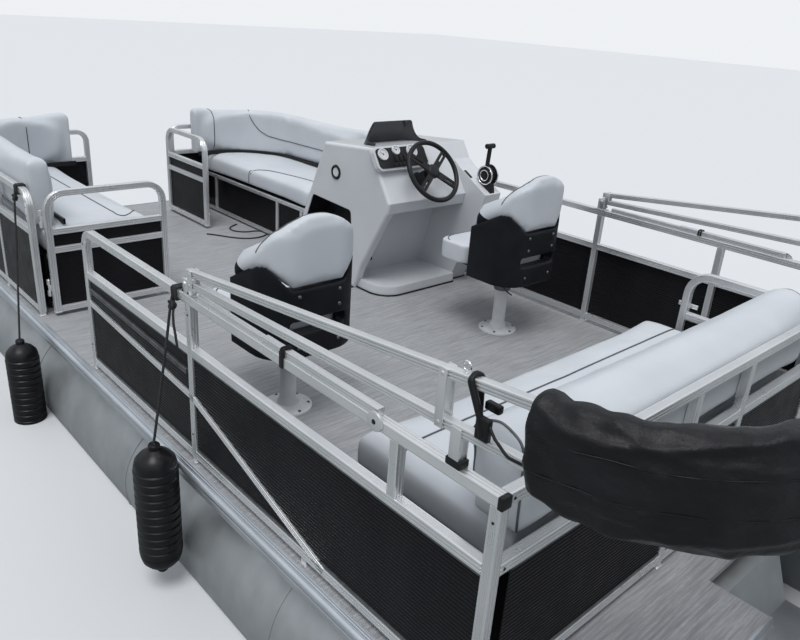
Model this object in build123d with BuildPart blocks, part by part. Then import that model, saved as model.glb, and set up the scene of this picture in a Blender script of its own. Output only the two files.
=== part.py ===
# Pontoon boat with two tubes, a fenced deck, lounges, a helm console and a tilted outboard motor.
# Frame: +X to the bow, +Y to port, +Z up. The origin is under the middle of the boat, at the
# underside of the keel strips. All sizes are in millimetres.
from build123d import *
from math import atan2, cos, hypot, pi, radians, sin, tan
import os

os.makedirs("parts", exist_ok=True)

# Hull sizes
beam = 2590.0
deck_aft = 344.0
deck_bow = 5010.0
deck_thickness = 22.0
deck_corner = 640.0
stern_corner = 60.0
tube_diameter = 610.0
tube_spacing = 1970.0
tube_aft = 330.0
nose_length = 760.0
nose_top_length = 300.0
nose_overhang = 130.0
nose_rise = 120.0
keel_depth = 12.0
keel_width = 40.0
ring_count = 3
ring_width = 10.0
ring_height = 2.5
riser_height = 62.0
riser_width = 150.0
riser_spread = 60.0
riser_wall = 6.0
crossmember_height = 76.0
crossmember_width = 38.0
crossmember_wall = 4.0
crossmember_count = 13
trim_width = 25.0

# Fence and gate sizes, heights above the deck
tube = 32.0
fence_inset = 46.0
fence_top = 668.0
fence_mid = 457.0
fence_foot = 20.0
brace_front = 326.0
brace_post = 274.0
brace_foot = 585.0
brace_tube = 25.0
bow_fence = 4760.0
bow_corner = 600.0
bow_opening = 628.0
bend = 86.0
side_post_front = 2350.0
side_post_middle = 1400.0
side_post_short = 330.0
hinge_post = 3096.0
stern_post_end = -630.0
gate_gap = 6.0
side_latch_gap = 50.0
gate_face = 8.0
gate_rail = 360.0
gate_bend = 106.0
gate_pad = 5.0
knuckle_radius = 7.0
knuckle_length = 30.0
hinge_pin_radius = 3.0
running_clearance = 0.3
sheet = 6.0
flute_pitch = 25.0
flute_width = 13.0
flute_depth = 4.0

# Motor sizes, measured with the motor upright, from the tilt pivot
motor_tilt = 65.0
transom_angle = 13.0
transom_height = 640.0
transom_thickness = 45.0
transom_top_aft = 717.0
pod_width = 480.0
pod_keel = 132.0
pivot_aft = 755.0
pivot_height = 690.0
steer_aft = 95.0
plate_drop = 560.0
shaft_drop = 720.0
skeg_drop = 865.0
skeg_aft = 265.0
propeller_aft = 345.0
propeller_radius = 150.0

# Levels
tube_radius = tube_diameter / 2
tube_axis = keel_depth + tube_radius
riser_top = keel_depth + tube_diameter + riser_height
deck_under = riser_top + crossmember_height
deck_top = deck_under + deck_thickness

# The stern fence's plane lies aft of the origin, so that the origin is at the middle of the length
eye_radius = 28.0
eye_forward = 12.0
tip_forward = deck_bow + nose_overhang
bow_reach = tip_forward + eye_forward + eye_radius
motor_reach = (
    pivot_aft + skeg_aft * cos(radians(motor_tilt)) + skeg_drop * sin(radians(motor_tilt))
)
stern_x = -(bow_reach - motor_reach) / 2

deck_half = beam / 2 - trim_width
fence_y = deck_half - fence_inset
deck_aft_x = stern_x - deck_aft
deck_bow_x = stern_x + deck_bow
SIDES = (("port", 1), ("starboard", -1))


def at(forward):
    """X of a station given forward of the stern fence."""
    return stern_x + forward


def block(low, high):
    """Box between two corners, in the active part."""
    middle = [(a + b) / 2 for a, b in zip(low, high)]
    with Locations(tuple(middle)):
        Box(high[0] - low[0], high[1] - low[1], high[2] - low[2])


def save(builder, name):
    """Label a finished piece and write its STEP file."""
    builder.part.label = name
    export_step(builder.part, f"parts/{name}.step")


# Pontoon tubes
tube_aft_x = at(-tube_aft)
tip_x = at(tip_forward)
tip_z = tube_axis + nose_rise
nose_x = tip_x - nose_length
for side, sign in SIDES:
    tube_y = sign * tube_spacing / 2
    with BuildPart() as pontoon:
        with BuildSketch(Plane.YZ.offset(tube_aft_x)):
            with Locations((tube_y, tube_axis)):
                Circle(tube_radius)
        extrude(amount=tip_x - tube_aft_x)
        with BuildSketch(Plane.XZ.offset(-tube_y)):
            with BuildLine():
                low = tube_axis - tube_radius - 1
                high = tube_axis + tube_radius + 1
                Polyline((tip_x - nose_top_length, high), (tube_aft_x, high), (tube_aft_x, low), (nose_x, low))
                TangentArc((nose_x, low), (tip_x, tip_z), tangent=(1, 0))
                TangentArc((tip_x - nose_top_length, high), (tip_x, tip_z), tangent=(1, 0))
            make_face()
        extrude(amount=tube_radius + 5, both=True, mode=Mode.INTERSECT)
        with BuildSketch(Plane.XY.offset(tube_axis)):
            with BuildLine():
                left = tube_y + tube_radius + 1
                right = tube_y - tube_radius - 1
                Polyline((nose_x, left), (tube_aft_x, left), (tube_aft_x, right), (nose_x, right))
                TangentArc((nose_x, left), (tip_x, tube_y), tangent=(1, 0))
                TangentArc((nose_x, right), (tip_x, tube_y), tangent=(1, 0))
            make_face()
        extrude(amount=tube_radius + 5, both=True, mode=Mode.INTERSECT)
        # Girth rings where the tube's sections are welded together
        for index in range(ring_count):
            ring_x = tube_aft_x + (index + 1) * (nose_x - tube_aft_x) / (ring_count + 1)
            with BuildSketch(Plane.YZ.offset(ring_x)):
                with Locations((tube_y, tube_axis)):
                    Circle(tube_radius + ring_height)
            extrude(amount=ring_width)
        # Keel strip
        block((tube_aft_x + 20, tube_y - keel_width / 2, 0), (nose_x, tube_y + keel_width / 2, keel_depth + 4))
        # Riser bracket that carries the crossmembers
        with BuildSketch(Plane.YZ.offset(tube_aft_x)):
            with BuildLine():
                foot_z = tube_axis + tube_radius - 30
                half = riser_width / 2
                Polyline(
                    (tube_y - half, riser_top), (tube_y + half, riser_top),
                    (tube_y + half + riser_spread / 2, foot_z), (tube_y - half - riser_spread / 2, foot_z),
                    close=True,
                )
            make_face()
            with BuildLine():
                inner = half - riser_wall
                Polyline(
                    (tube_y - inner, riser_top - riser_wall), (tube_y + inner, riser_top - riser_wall),
                    (tube_y + inner + riser_spread / 2, foot_z), (tube_y - inner - riser_spread / 2, foot_z),
                    close=True,
                )
            make_face(mode=Mode.SUBTRACT)
        extrude(amount=at(deck_bow - 60) - tube_aft_x)
        # Tow eye on the nose
        with BuildSketch(Plane.XZ.offset(-tube_y)):
            with Locations((tip_x + eye_forward, tip_z)):
                Circle(eye_radius)
            with Locations((tip_x + eye_forward - 45, tip_z)):
                Rectangle(90, 2 * eye_radius)
            with Locations((tip_x + eye_forward, tip_z)):
                Circle(10, mode=Mode.SUBTRACT)
        extrude(amount=7, both=True)
        with BuildSketch(Plane.XZ.offset(-tube_y)):
            with Locations((tip_x + eye_forward, tip_z)):
                Circle(10)
        extrude(amount=60, both=True, mode=Mode.SUBTRACT)
    save(pontoon, f"pontoon_{side}")

# Crossmembers: C channels across both risers, with short ones beside the motor well
well_half = pod_width / 2 + 40
well_forward = -150.0
member_inset = 30.0
crossmember_half = deck_half - member_inset
first_member = -100.0
last_member = deck_bow - 90
with BuildPart() as crossmembers:
    pitch = (last_member - first_member) / (crossmember_count - 1)
    stations = [at(first_member + index * pitch) for index in range(crossmember_count)]
    spans = [(station, -crossmember_half, crossmember_half) for station in stations]
    spans += [(at(-deck_aft + 30), sign * well_half, sign * crossmember_half) for _, sign in SIDES]
    for x, start, end in spans:
        with BuildSketch(Plane.XZ.offset(-start)):
            with Locations((x + crossmember_wall / 2, riser_top + crossmember_height / 2)):
                Rectangle(crossmember_wall, crossmember_height)
            for z in (riser_top + crossmember_wall / 2, deck_under - crossmember_wall / 2):
                with Locations((x + crossmember_width / 2, z)):
                    Rectangle(crossmember_width, crossmember_wall)
        extrude(amount=start - end)
    # Cut back to follow the deck's rounded bow corners
    with BuildSketch(Plane.XY.offset(riser_top)) as member_plan:
        with Locations(((deck_aft_x + deck_bow_x) / 2, 0)):
            Rectangle(deck_bow_x - deck_aft_x - 2 * member_inset, 2 * crossmember_half)
        fillet(member_plan.vertices().group_by(Axis.X)[-1], deck_corner - member_inset)
    extrude(amount=crossmember_height, mode=Mode.INTERSECT)
save(crossmembers, "crossmembers")

# Deck, with the motor well cut out of its aft edge
with BuildPart() as deck:
    with BuildSketch(Plane.XY.offset(deck_under)) as deck_plan:
        with Locations(((deck_aft_x + deck_bow_x) / 2, 0)):
            Rectangle(deck_bow_x - deck_aft_x, 2 * deck_half)
        fillet(deck_plan.vertices().group_by(Axis.X)[-1], deck_corner)
        fillet(deck_plan.vertices().group_by(Axis.X)[0], stern_corner)
        with Locations(((deck_aft_x + at(well_forward)) / 2, 0)):
            Rectangle(at(well_forward) - deck_aft_x, 2 * well_half, mode=Mode.SUBTRACT)
    extrude(amount=deck_thickness)
save(deck, "deck")

# Deck edge moulding with its rub bead, swept round the deck from one side of the well to the other
with BuildPart() as deck_edge:
    with BuildLine() as edge_path:
        FilletPolyline(
            (deck_aft_x, well_half, deck_top), (deck_aft_x, deck_half, deck_top),
            (deck_bow_x, deck_half, deck_top), (deck_bow_x, -deck_half, deck_top),
            (deck_aft_x, -deck_half, deck_top), (deck_aft_x, -well_half, deck_top),
            radius=(stern_corner, deck_corner, deck_corner, stern_corner),
        )
    with BuildSketch(Plane(edge_path.line @ 0, x_dir=(-1, 0, 0), z_dir=(0, 1, 0))):
        with BuildLine():
            Polyline((0, 98), (0, -3), (9, -3), (13, 6), (13, 22))
            ThreePointArc((13, 22), (trim_width, 37), (13, 52))
            Polyline((13, 52), (13, 60), (9, 66), (9, 98), (0, 98))
        make_face()
    sweep()
save(deck_edge, "deck_edge")

# Motor pod with its transom
with BuildPart() as motor_pod:
    lean = tan(radians(transom_angle))
    top_aft = at(-transom_top_aft)
    top_front = top_aft + transom_thickness
    pod_shelf = 480.0
    with BuildSketch(Plane.XZ):
        with BuildLine():
            Polyline(
                (at(900), riser_top), (at(900), 560), (at(720), 300), (at(480), 160),
                (top_aft + (transom_height - pod_keel) * lean, pod_keel), (top_aft, transom_height),
                (top_front, transom_height), (top_front + (transom_height - pod_shelf) * lean, pod_shelf),
                (at(-260), pod_shelf), (at(-180), riser_top), close=True,
            )
        make_face()
    extrude(amount=pod_width / 2, both=True)
    with BuildSketch(Plane.XY):
        with BuildLine():
            Polyline(
                (top_aft - 10, pod_width / 2), (at(420), pod_width / 2), (at(900), 70),
                (at(900), -70), (at(420), -pod_width / 2), (top_aft - 10, -pod_width / 2), close=True,
            )
        make_face()
    extrude(amount=riser_top, mode=Mode.INTERSECT)
save(motor_pod, "motor_pod")

# Fences
top_z = deck_top + fence_top - tube / 2
mid_z = deck_top + fence_mid
low_z = deck_top + fence_foot + tube / 2
bow_fence_x = at(bow_fence)
bow_post_y = bow_opening / 2 + tube / 2
# Posts at the gates, one per fence end: x, y, and the gate's closed direction and outward normal
gates = {
    "side_gate": {"post": (at(hinge_post), fence_y), "closed": (-1, 0), "normal": (0, 1),
                  "length": hinge_post - side_post_front - tube - 3 * gate_gap - side_latch_gap},
    "bow_gate": {"post": (bow_fence_x, -bow_post_y), "closed": (0, 1), "normal": (1, 0),
                 "length": bow_opening - 3 * gate_gap},
    "stern_gate": {"post": (at(0), stern_post_end), "closed": (0, -1), "normal": (-1, 0),
                   "length": fence_y + stern_post_end - tube - 3 * gate_gap},
}
for gate in gates.values():
    (post_x, post_y), (cx, cy), (nx, ny) = gate["post"], gate["closed"], gate["normal"]
    reach = tube / 2 + gate_gap
    back = tube / 2 + gate_face
    gate["axis"] = (post_x + cx * reach - nx * back, post_y + cy * reach - ny * back)
hinge_levels = (deck_top + 150, deck_top + 520)


def rail_run(points, radius, z, width=tube, height=tube):
    """Square rail that follows a path in plan, with its corners rounded."""
    with BuildSketch(Plane.XY.offset(z - height / 2)) as strip:
        with BuildLine():
            if len(points) > 2:
                FilletPolyline(*points, radius=radius)
            else:
                Line(*points)
        trace(line_width=width)
    extrude(strip.sketch, amount=height)


def post(x, y, low=fence_foot, high=fence_top - tube):
    """Upright between two heights above the deck."""
    block((x - tube / 2, y - tube / 2, deck_top + low), (x + tube / 2, y + tube / 2, deck_top + high))


def foot(x, y):
    """Stand-off under a post."""
    half = tube / 2
    block((x - half, y - half, deck_top), (x + half, y + half, deck_top + fence_foot))


def end_bend(plane, start, sign, offset):
    """Post that bends into the top rail: drawn in a vertical plane."""
    with BuildSketch(plane.offset(offset)) as strip:
        with BuildLine():
            FilletPolyline(
                (start, deck_top + fence_foot), (start, top_z), (start + sign * (bend + 20), top_z),
                radius=bend - tube / 2,
            )
        trace(line_width=tube)
    extrude(strip.sketch, amount=tube / 2, both=True)


def hinge_half(axis, direction, normal, levels, bore):
    """Knuckles of one side of a gate's hinges, with the leaf that joins them to the tube."""
    (ax, ay), (dx, dy), (nx, ny) = axis, direction, normal
    for z in levels:
        with Locations((ax, ay, z)):
            Cylinder(knuckle_radius, knuckle_length)
        far = (ax + dx * (gate_gap + 8) + nx * (gate_face + 1), ay + dy * (gate_gap + 8) + ny * (gate_face + 1))
        low = (min(ax, far[0]), min(ay, far[1]), z - knuckle_length / 2)
        high = (max(ax, far[0]), max(ay, far[1]), z + knuckle_length / 2)
        block(low, high)
        if bore:
            with Locations((ax, ay, z)):
                Cylinder(bore, knuckle_length + 1, mode=Mode.SUBTRACT)


def fixed_hinges(name):
    """The fence's half of a gate's hinges: outer knuckles and pins."""
    gate = gates[name]
    ax, ay = gate["axis"]
    away = (-gate["closed"][0], -gate["closed"][1])
    step = knuckle_length + running_clearance * 2
    for level in hinge_levels:
        hinge_half(gate["axis"], away, gate["normal"], (level - step, level + step), None)
        with Locations((ax, ay, level)):
            Cylinder(hinge_pin_radius, 2 * step)


brace_depth = tube - 2 * flute_depth - sheet - running_clearance
side_points = {
    "bow_port": ((at(hinge_post), fence_y), (bow_fence_x, fence_y), (bow_fence_x, bow_post_y)),
    "starboard": ((at(-tube / 2), -fence_y), (bow_fence_x, -fence_y), (bow_fence_x, -bow_post_y)),
}
bow_posts = (3640.0, 4080.0)
starboard_posts = (0.0, 700.0, side_post_middle, 2260.0, 3000.0, 3560.0, 4080.0)


def fence_run(points, trim_start, posts, y):
    """Bow fence: three rails that follow the plan, posts, and the bend at the bow opening."""
    start, corner, end = points
    sign = 1 if end[1] > 0 else -1
    top_points = ((start[0] + trim_start, start[1]), corner, (end[0], end[1] + sign * (bend + 10)))
    rail_run(top_points, bow_corner, top_z)
    rail_run(points, bow_corner, mid_z)
    rail_run(points, bow_corner, low_z)
    end_bend(Plane.YZ, end[1], sign, bow_fence_x)
    foot(end[0], end[1])
    for forward in posts:
        post(at(forward), y)
        foot(at(forward), y)


with BuildPart() as fence_port:
    front_x = at(side_post_front)
    end_bend(Plane.XZ, front_x, -1, -fence_y)
    aft_end = at(-tube / 2)
    for z, end in ((top_z, front_x - bend), (mid_z, front_x), (low_z, front_x)):
        block((aft_end, fence_y - tube / 2, z - tube / 2), (end, fence_y + tube / 2, z + tube / 2))
    for forward in (side_post_middle, 0.0):
        post(at(forward), fence_y)
    post(at(side_post_short), fence_y, low=fence_mid)
    for forward in (side_post_front, side_post_middle, 700.0, 0.0):
        foot(at(forward), fence_y)
    # Brace that leaves the front post, bends at the middle post and runs down to the bottom rail
    with BuildSketch(Plane.XZ.offset(-(fence_y + tube / 2))):
        with BuildLine():
            Polyline(
                (front_x, deck_top + brace_front), (at(side_post_middle), deck_top + brace_post),
                (at(brace_foot), low_z),
            )
        trace(line_width=brace_tube)
    extrude(amount=-brace_depth)
    fence_run(side_points["bow_port"], bend - 10, bow_posts, fence_y)
    end_bend(Plane.XZ, at(hinge_post), 1, -fence_y)
    foot(at(hinge_post), fence_y)
    fixed_hinges("side_gate")
save(fence_port, "fence_frame_port")

with BuildPart() as fence_starboard:
    fence_run(side_points["starboard"], 0, starboard_posts, -fence_y)
    fixed_hinges("bow_gate")
save(fence_starboard, "fence_frame_starboard")

stern_start = fence_y - tube / 2
with BuildPart() as fence_stern:
    half = tube / 2
    for z in (top_z, mid_z, low_z):
        block((at(0) - half, stern_post_end - half, z - half), (at(0) + half, stern_start, z + half))
    for y in (stern_start - tube / 2, 354.0, 0.0, stern_post_end):
        post(at(0), y)
        foot(at(0), y)
    fixed_hinges("stern_gate")
save(fence_stern, "fence_frame_stern")


sheet_shift = tube / 2 - sheet / 2 - flute_depth


def fluted_run(points, radius, inboard):
    """Fluted sheet inside the fence's frame, between the bottom rail and the middle rail."""
    low = low_z + tube / 2
    high = mid_z - tube / 2
    shift = sheet_shift
    moved = [(x - dx * shift, y - dy * shift) for (x, y), (dx, dy) in zip(points, inboard)]
    rail_run(moved, radius - shift, (low + high) / 2, width=sheet, height=high - low)
    count = int((high - low) // flute_pitch)
    for index in range(count):
        z = low + (index + 0.5) * (high - low) / count
        rail_run(moved, radius - shift, z, width=sheet + 2 * flute_depth, height=flute_width)


def cut_posts(places):
    """Room for the posts that stand between the panels."""
    for x, y in places:
        with Locations((x, y, deck_top + fence_mid / 2)):
            Box(tube, tube, fence_mid, mode=Mode.SUBTRACT)


with BuildPart() as panel_port:
    fluted_run(((aft_end, fence_y), (at(side_post_front) - tube / 2, fence_y)), bow_corner, ((0, 1), (0, 1)))
    fluted_run(side_points["bow_port"], bow_corner, ((0, 1), (1, 1), (1, 0)))
    cut_posts([(at(forward), fence_y) for forward in (0.0, side_post_middle, hinge_post) + bow_posts])
    cut_posts([(bow_fence_x, bow_post_y)])
save(panel_port, "fence_panels_port")

with BuildPart() as panel_starboard:
    fluted_run(side_points["starboard"], bow_corner, ((0, -1), (1, -1), (1, 0)))
    cut_posts([(at(forward), -fence_y) for forward in starboard_posts])
    cut_posts([(bow_fence_x, -bow_post_y)])
save(panel_starboard, "fence_panels_starboard")

with BuildPart() as panel_stern:
    fluted_run(((at(0), stern_post_end), (at(0), stern_start)), bow_corner, ((-1, 0), (-1, 0)))
    cut_posts([(at(0), y) for y in (stern_start - tube / 2, 354.0, 0.0, stern_post_end)])
save(panel_stern, "fence_panels_stern")

# Gates, swung open: inward, at right angles to their fence
gate_top = fence_top - tube / 2
for name, gate in gates.items():
    (ax, ay), (cx, cy), (nx, ny) = gate["axis"], gate["closed"], gate["normal"]
    along = (-cy, cx, 0)
    face = (-ny, nx, 0)
    plane = Plane(origin=(ax, ay, deck_top), x_dir=along, z_dir=face)
    near = gate_gap + tube / 2
    far = gate_gap + gate["length"] - tube / 2
    middle = plane.offset(gate_face + tube / 2)
    with BuildPart() as gate_frame:
        with BuildSketch(middle):
            with BuildLine():
                FilletPolyline(
                    (near, fence_foot), (near, gate_top), (far, gate_top), (far, fence_foot),
                    radius=gate_bend - tube / 2,
                )
            trace(line_width=tube)
            for level in (fence_mid, gate_rail, fence_foot + tube / 2):
                with Locations(((near + far) / 2, level)):
                    Rectangle(far - near, tube)
            with Locations((far - 60, fence_foot - gate_pad / 2)):
                Rectangle(24, gate_pad)
        extrude(amount=tube / 2, both=True)
        hinge_half((ax, ay), along[:2], face[:2], hinge_levels, hinge_pin_radius + running_clearance)
    save(gate_frame, f"{name}_frame")
    with BuildPart() as gate_panel:
        half = tube / 2
        for low, high in ((fence_foot + tube, gate_rail - half), (gate_rail + half, fence_mid - half)):
            with BuildSketch(plane.offset(gate_face + tube / 2)):
                with Locations(((near + far) / 2, (low + high) / 2)):
                    Rectangle(far - near - tube, high - low)
            extrude(amount=sheet / 2, both=True)
            count = int((high - low) // flute_pitch)
            with BuildSketch(plane.offset(gate_face + tube / 2)):
                with Locations(((near + far) / 2, (low + high) / 2)):
                    with GridLocations(0, (high - low) / count, 1, count):
                        Rectangle(far - near - tube, flute_width)
            extrude(amount=sheet / 2 + flute_depth, both=True)
    save(gate_panel, f"{name}_panel")

# Bow lounges: base, seat cushion and curved backrest on each side
lounge_clear = 10.0
lounge_front = 640.0
lounge_kick = 30.0
lounge_base_top = 306.0
seat_thickness = 140.0
back_thickness = 130.0
back_top = 820.0
back_corner = bow_corner - tube / 2 - 10.0 - back_thickness / 2
lounge_end_y = 360.0
lounge_return = 560.0
cushion_gap = 0.5
frame_bar = 28.0
frame_foot = 40.0
panel_recess = 8.0
lounge_bays = 2
lounge_rows = (
    # side, sign, aft end forward of the stern fence
    ("port", 1, 3130.0),
    ("starboard", -1, 3255.0),
)
inner_y = fence_y - tube / 2 - lounge_clear
inner_bow = bow_fence_x - tube / 2 - lounge_clear


def lounge_plan(sign, aft, inset):
    """L-shaped plan of a lounge, rounded where it follows the fence's bow corner."""
    front = lounge_front + inset
    side = at(aft) + inset
    with Locations(((side + inner_bow) / 2, sign * (front + inner_y) / 2)):
        Rectangle(inner_bow - side, inner_y - front)
    end = lounge_end_y + inset
    return_x = inner_bow - lounge_return + inset
    with Locations(((return_x + inner_bow) / 2, sign * (end + inner_y) / 2)):
        Rectangle(inner_bow - return_x, inner_y - end)


def inside_fence(aft):
    """Rounded rectangle that the fence leaves for the lounges."""
    radius = bow_corner - tube / 2 - lounge_clear
    with Locations(((at(aft) - 500 + inner_bow) / 2, 0)):
        RectangleRounded(inner_bow - at(aft) + 500, 2 * inner_y, radius, mode=Mode.INTERSECT)


def recess(x_span, y_span, top):
    """Panel set back inside the bars of a seat base's frame."""
    low_x, high_x = sorted(x_span)
    low_y, high_y = sorted(y_span)
    low_z, high_z = deck_top + frame_foot, deck_top + top - frame_bar
    with Locations(((low_x + high_x) / 2, (low_y + high_y) / 2, (low_z + high_z) / 2)):
        Box(high_x - low_x, high_y - low_y, high_z - low_z, mode=Mode.SUBTRACT)


for side, sign, aft in lounge_rows:
    with BuildPart() as lounge_base:
        with BuildSketch(Plane.XY.offset(deck_top)):
            lounge_plan(sign, aft, lounge_kick)
            inside_fence(aft)
        extrude(amount=lounge_base_top)
        front = sign * (lounge_front + lounge_kick)
        end = sign * (lounge_end_y + lounge_kick)
        aft_face = at(aft) + lounge_kick
        return_face = inner_bow - lounge_return + lounge_kick
        bay = (return_face - aft_face) / lounge_bays
        front_depth = (front - sign, front + sign * panel_recess)
        end_depth = (end - sign, end + sign * panel_recess)
        # Front bays, then the return's two faces, then the aft end
        for index in range(lounge_bays):
            start = aft_face + index * bay + frame_bar
            recess((start, start + bay - 2 * frame_bar), front_depth, lounge_base_top)
        step_y = (end + sign * frame_bar, front - sign * frame_bar)
        recess((return_face - 1, return_face + panel_recess), step_y, lounge_base_top)
        recess((return_face + frame_bar, inner_bow - bow_corner / 2), end_depth, lounge_base_top)
        side_y = (front + sign * frame_bar, sign * inner_y - sign * frame_bar)
        recess((aft_face - 1, aft_face + panel_recess), side_y, lounge_base_top)
    save(lounge_base, f"lounge_{side}_base")
    with BuildPart() as lounge_seat:
        with BuildSketch(Plane.XY.offset(deck_top + lounge_base_top + cushion_gap)) as seat_plan:
            lounge_plan(sign, aft, 0)
            inside_fence(aft)
        extrude(amount=seat_thickness)
        fillet(lounge_seat.edges().group_by(Axis.Z)[-1], 40)
    save(lounge_seat, f"lounge_{side}_seat")
    with BuildPart() as lounge_back:
        half = back_thickness / 2
        seat_top = deck_top + lounge_base_top + seat_thickness + 2 * cushion_gap
        with BuildSketch(Plane.XY.offset(seat_top)):
            with BuildLine():
                FilletPolyline(
                    (at(aft) + 30, sign * (inner_y - half)), (inner_bow - half, sign * (inner_y - half)),
                    (inner_bow - half, sign * (lounge_end_y + 30)), radius=back_corner,
                )
            trace(line_width=back_thickness)
        extrude(amount=deck_top + back_top - seat_top)
        fillet(lounge_back.edges().group_by(Axis.Z)[-1], 55)
    save(lounge_back, f"lounge_{side}_back")

# Stern bench
bench_port = 1120.0
bench_end = -600.0
bench_front = 650.0
bench_kick = 50.0
bench_bays = 3
bench_base_top = 300.0
bench_back_top = 800.0
bench_back_depth = 210.0
bench_aft = 26.0
with BuildPart() as bench_base:
    low_y, high_y = bench_end + 20, bench_port - 60
    face = at(bench_front - bench_kick)
    block((at(bench_aft), low_y, deck_top), (face, high_y, deck_top + bench_base_top))
    bay = (high_y - low_y) / bench_bays
    for index in range(bench_bays):
        start = low_y + index * bay + frame_bar
        recess((face - panel_recess, face + 1), (start, start + bay - 2 * frame_bar), bench_base_top)
save(bench_base, "bench_base")
with BuildPart() as bench_seat:
    low = deck_top + bench_base_top + cushion_gap
    block((at(bench_aft + 10), bench_end, low), (at(bench_front), bench_port, low + seat_thickness))
    fillet(bench_seat.edges().group_by(Axis.Z)[-1], 55)
save(bench_seat, "bench_seat")
with BuildPart() as bench_back:
    low = deck_top + bench_base_top + seat_thickness + 2 * cushion_gap
    with BuildSketch(Plane.XZ.offset(-bench_port)):
        with BuildLine():
            aft_x = at(bench_aft)
            roll_x = aft_x + bench_back_depth
            top = deck_top + bench_back_top
            Polyline((aft_x, low), (roll_x - 40, low), (roll_x, top - 90))
            ThreePointArc((roll_x, top - 90), (aft_x + bench_back_depth / 2, top), (aft_x, top - 90))
            Line((aft_x, top - 90), (aft_x, low))
        make_face()
    extrude(amount=bench_port - bench_end)
save(bench_back, "bench_back")

# Helm console: port cheek with a pocket, dash slope, open footwell, starboard arm and foot tray
console_port = -420.0
console_starboard = -1190.0
cheek = 50.0
arm_width = 140.0
console_lip = (2256.0, 593.0)
console_dash = (2446.0, 880.0)
console_top = (2880.0, 845.0)
console_toe = (3255.0, 0.0)
console_profile = (
    # x forward of the stern fence, height above the deck
    (2542.0, 0.0), (2492.0, 137.0), (2270.0, 530.0), console_lip, console_dash, console_top, console_toe,
)
footwell_profile = (
    (2100.0, -1.0), (2100.0, 528.0), (2300.0, 528.0), (2520.0, 450.0), (2625.0, 60.0), (2625.0, -1.0),
)
arm_nose = (2093.0, 614.0)
arm_knee = (2329.0, 745.0)
arm_profile = (
    (2330.0, 0.0), (2112.0, 500.0), arm_nose, arm_knee, (2450.0, 832.0), (2650.0, 832.0), (2650.0, 0.0),
)
pocket_profile = ((2560.0, 150.0), (2600.0, 480.0), (2985.0, 500.0), (3135.0, 150.0))
pocket_depth = 160.0
pocket_round = 25.0
console_round = 18.0
tray_aft = 2290.0
tray_fore = 2640.0
tray_height = 60.0
tray_round = 140.0
footwell_port = console_port - cheek
footwell_starboard = console_starboard + arm_width


# The dash's slope. Local x runs to starboard, local y up the slope, and local z towards the driver
lip_x, lip_z = at(console_lip[0]), deck_top + console_lip[1]
dash_x, dash_z = at(console_dash[0]), deck_top + console_dash[1]
slope = atan2(dash_z - lip_z, dash_x - lip_x)
slope_length = hypot(dash_x - lip_x, dash_z - lip_z)
dash_plane = Plane(origin=(lip_x, 0, lip_z), x_dir=(0, -1, 0), z_dir=(-sin(slope), 0, cos(slope)))
pod_middle = 600.0
pod_span = 400.0
pod_low = 188.0
pod_top = slope_length - 10
pod_height = 34.0
pod_round = 36.0
pod_border = 14.0


def profile_face(profile):
    """Face in the XZ plane from stations and heights."""
    Polygon(*[(at(x), deck_top + z) for x, z in profile], align=None)


with BuildPart() as console:
    with BuildSketch(Plane.XZ.offset(-console_port)):
        profile_face(console_profile)
    extrude(amount=console_port - console_starboard)
    with BuildSketch(Plane.XZ.offset(-footwell_starboard)):
        profile_face(arm_profile)
    extrude(amount=arm_width)
    with BuildSketch(Plane.XZ.offset(-footwell_port)):
        profile_face(footwell_profile)
    extrude(amount=footwell_port - footwell_starboard, mode=Mode.SUBTRACT)
    fillet(console.faces().sort_by(Axis.Y)[-1].edges(), console_round)
    # Foot tray
    with BuildSketch(Plane.XY.offset(deck_top)) as tray_plan:
        tray_port = console_port - 30
        with Locations((at((tray_aft + tray_fore) / 2), (tray_port + footwell_starboard) / 2)):
            Rectangle(tray_fore - tray_aft, tray_port - footwell_starboard)
        fillet(tray_plan.vertices().group_by(Axis.X)[0].sort_by(Axis.Y)[-1], tray_round)
    extrude(amount=tray_height)
    # Storage pocket
    with BuildSketch(Plane.XZ.offset(-console_port)) as pocket:
        profile_face(pocket_profile)
        fillet(pocket.vertices(), pocket_round)
    extrude(amount=pocket_depth, mode=Mode.SUBTRACT)
    # Raised pod under the gauges
    with BuildSketch(dash_plane):
        with Locations((pod_middle, (pod_low + pod_top) / 2)):
            RectangleRounded(pod_span, pod_top - pod_low, pod_round)
    extrude(amount=pod_height)
save(console, "console")

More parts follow.
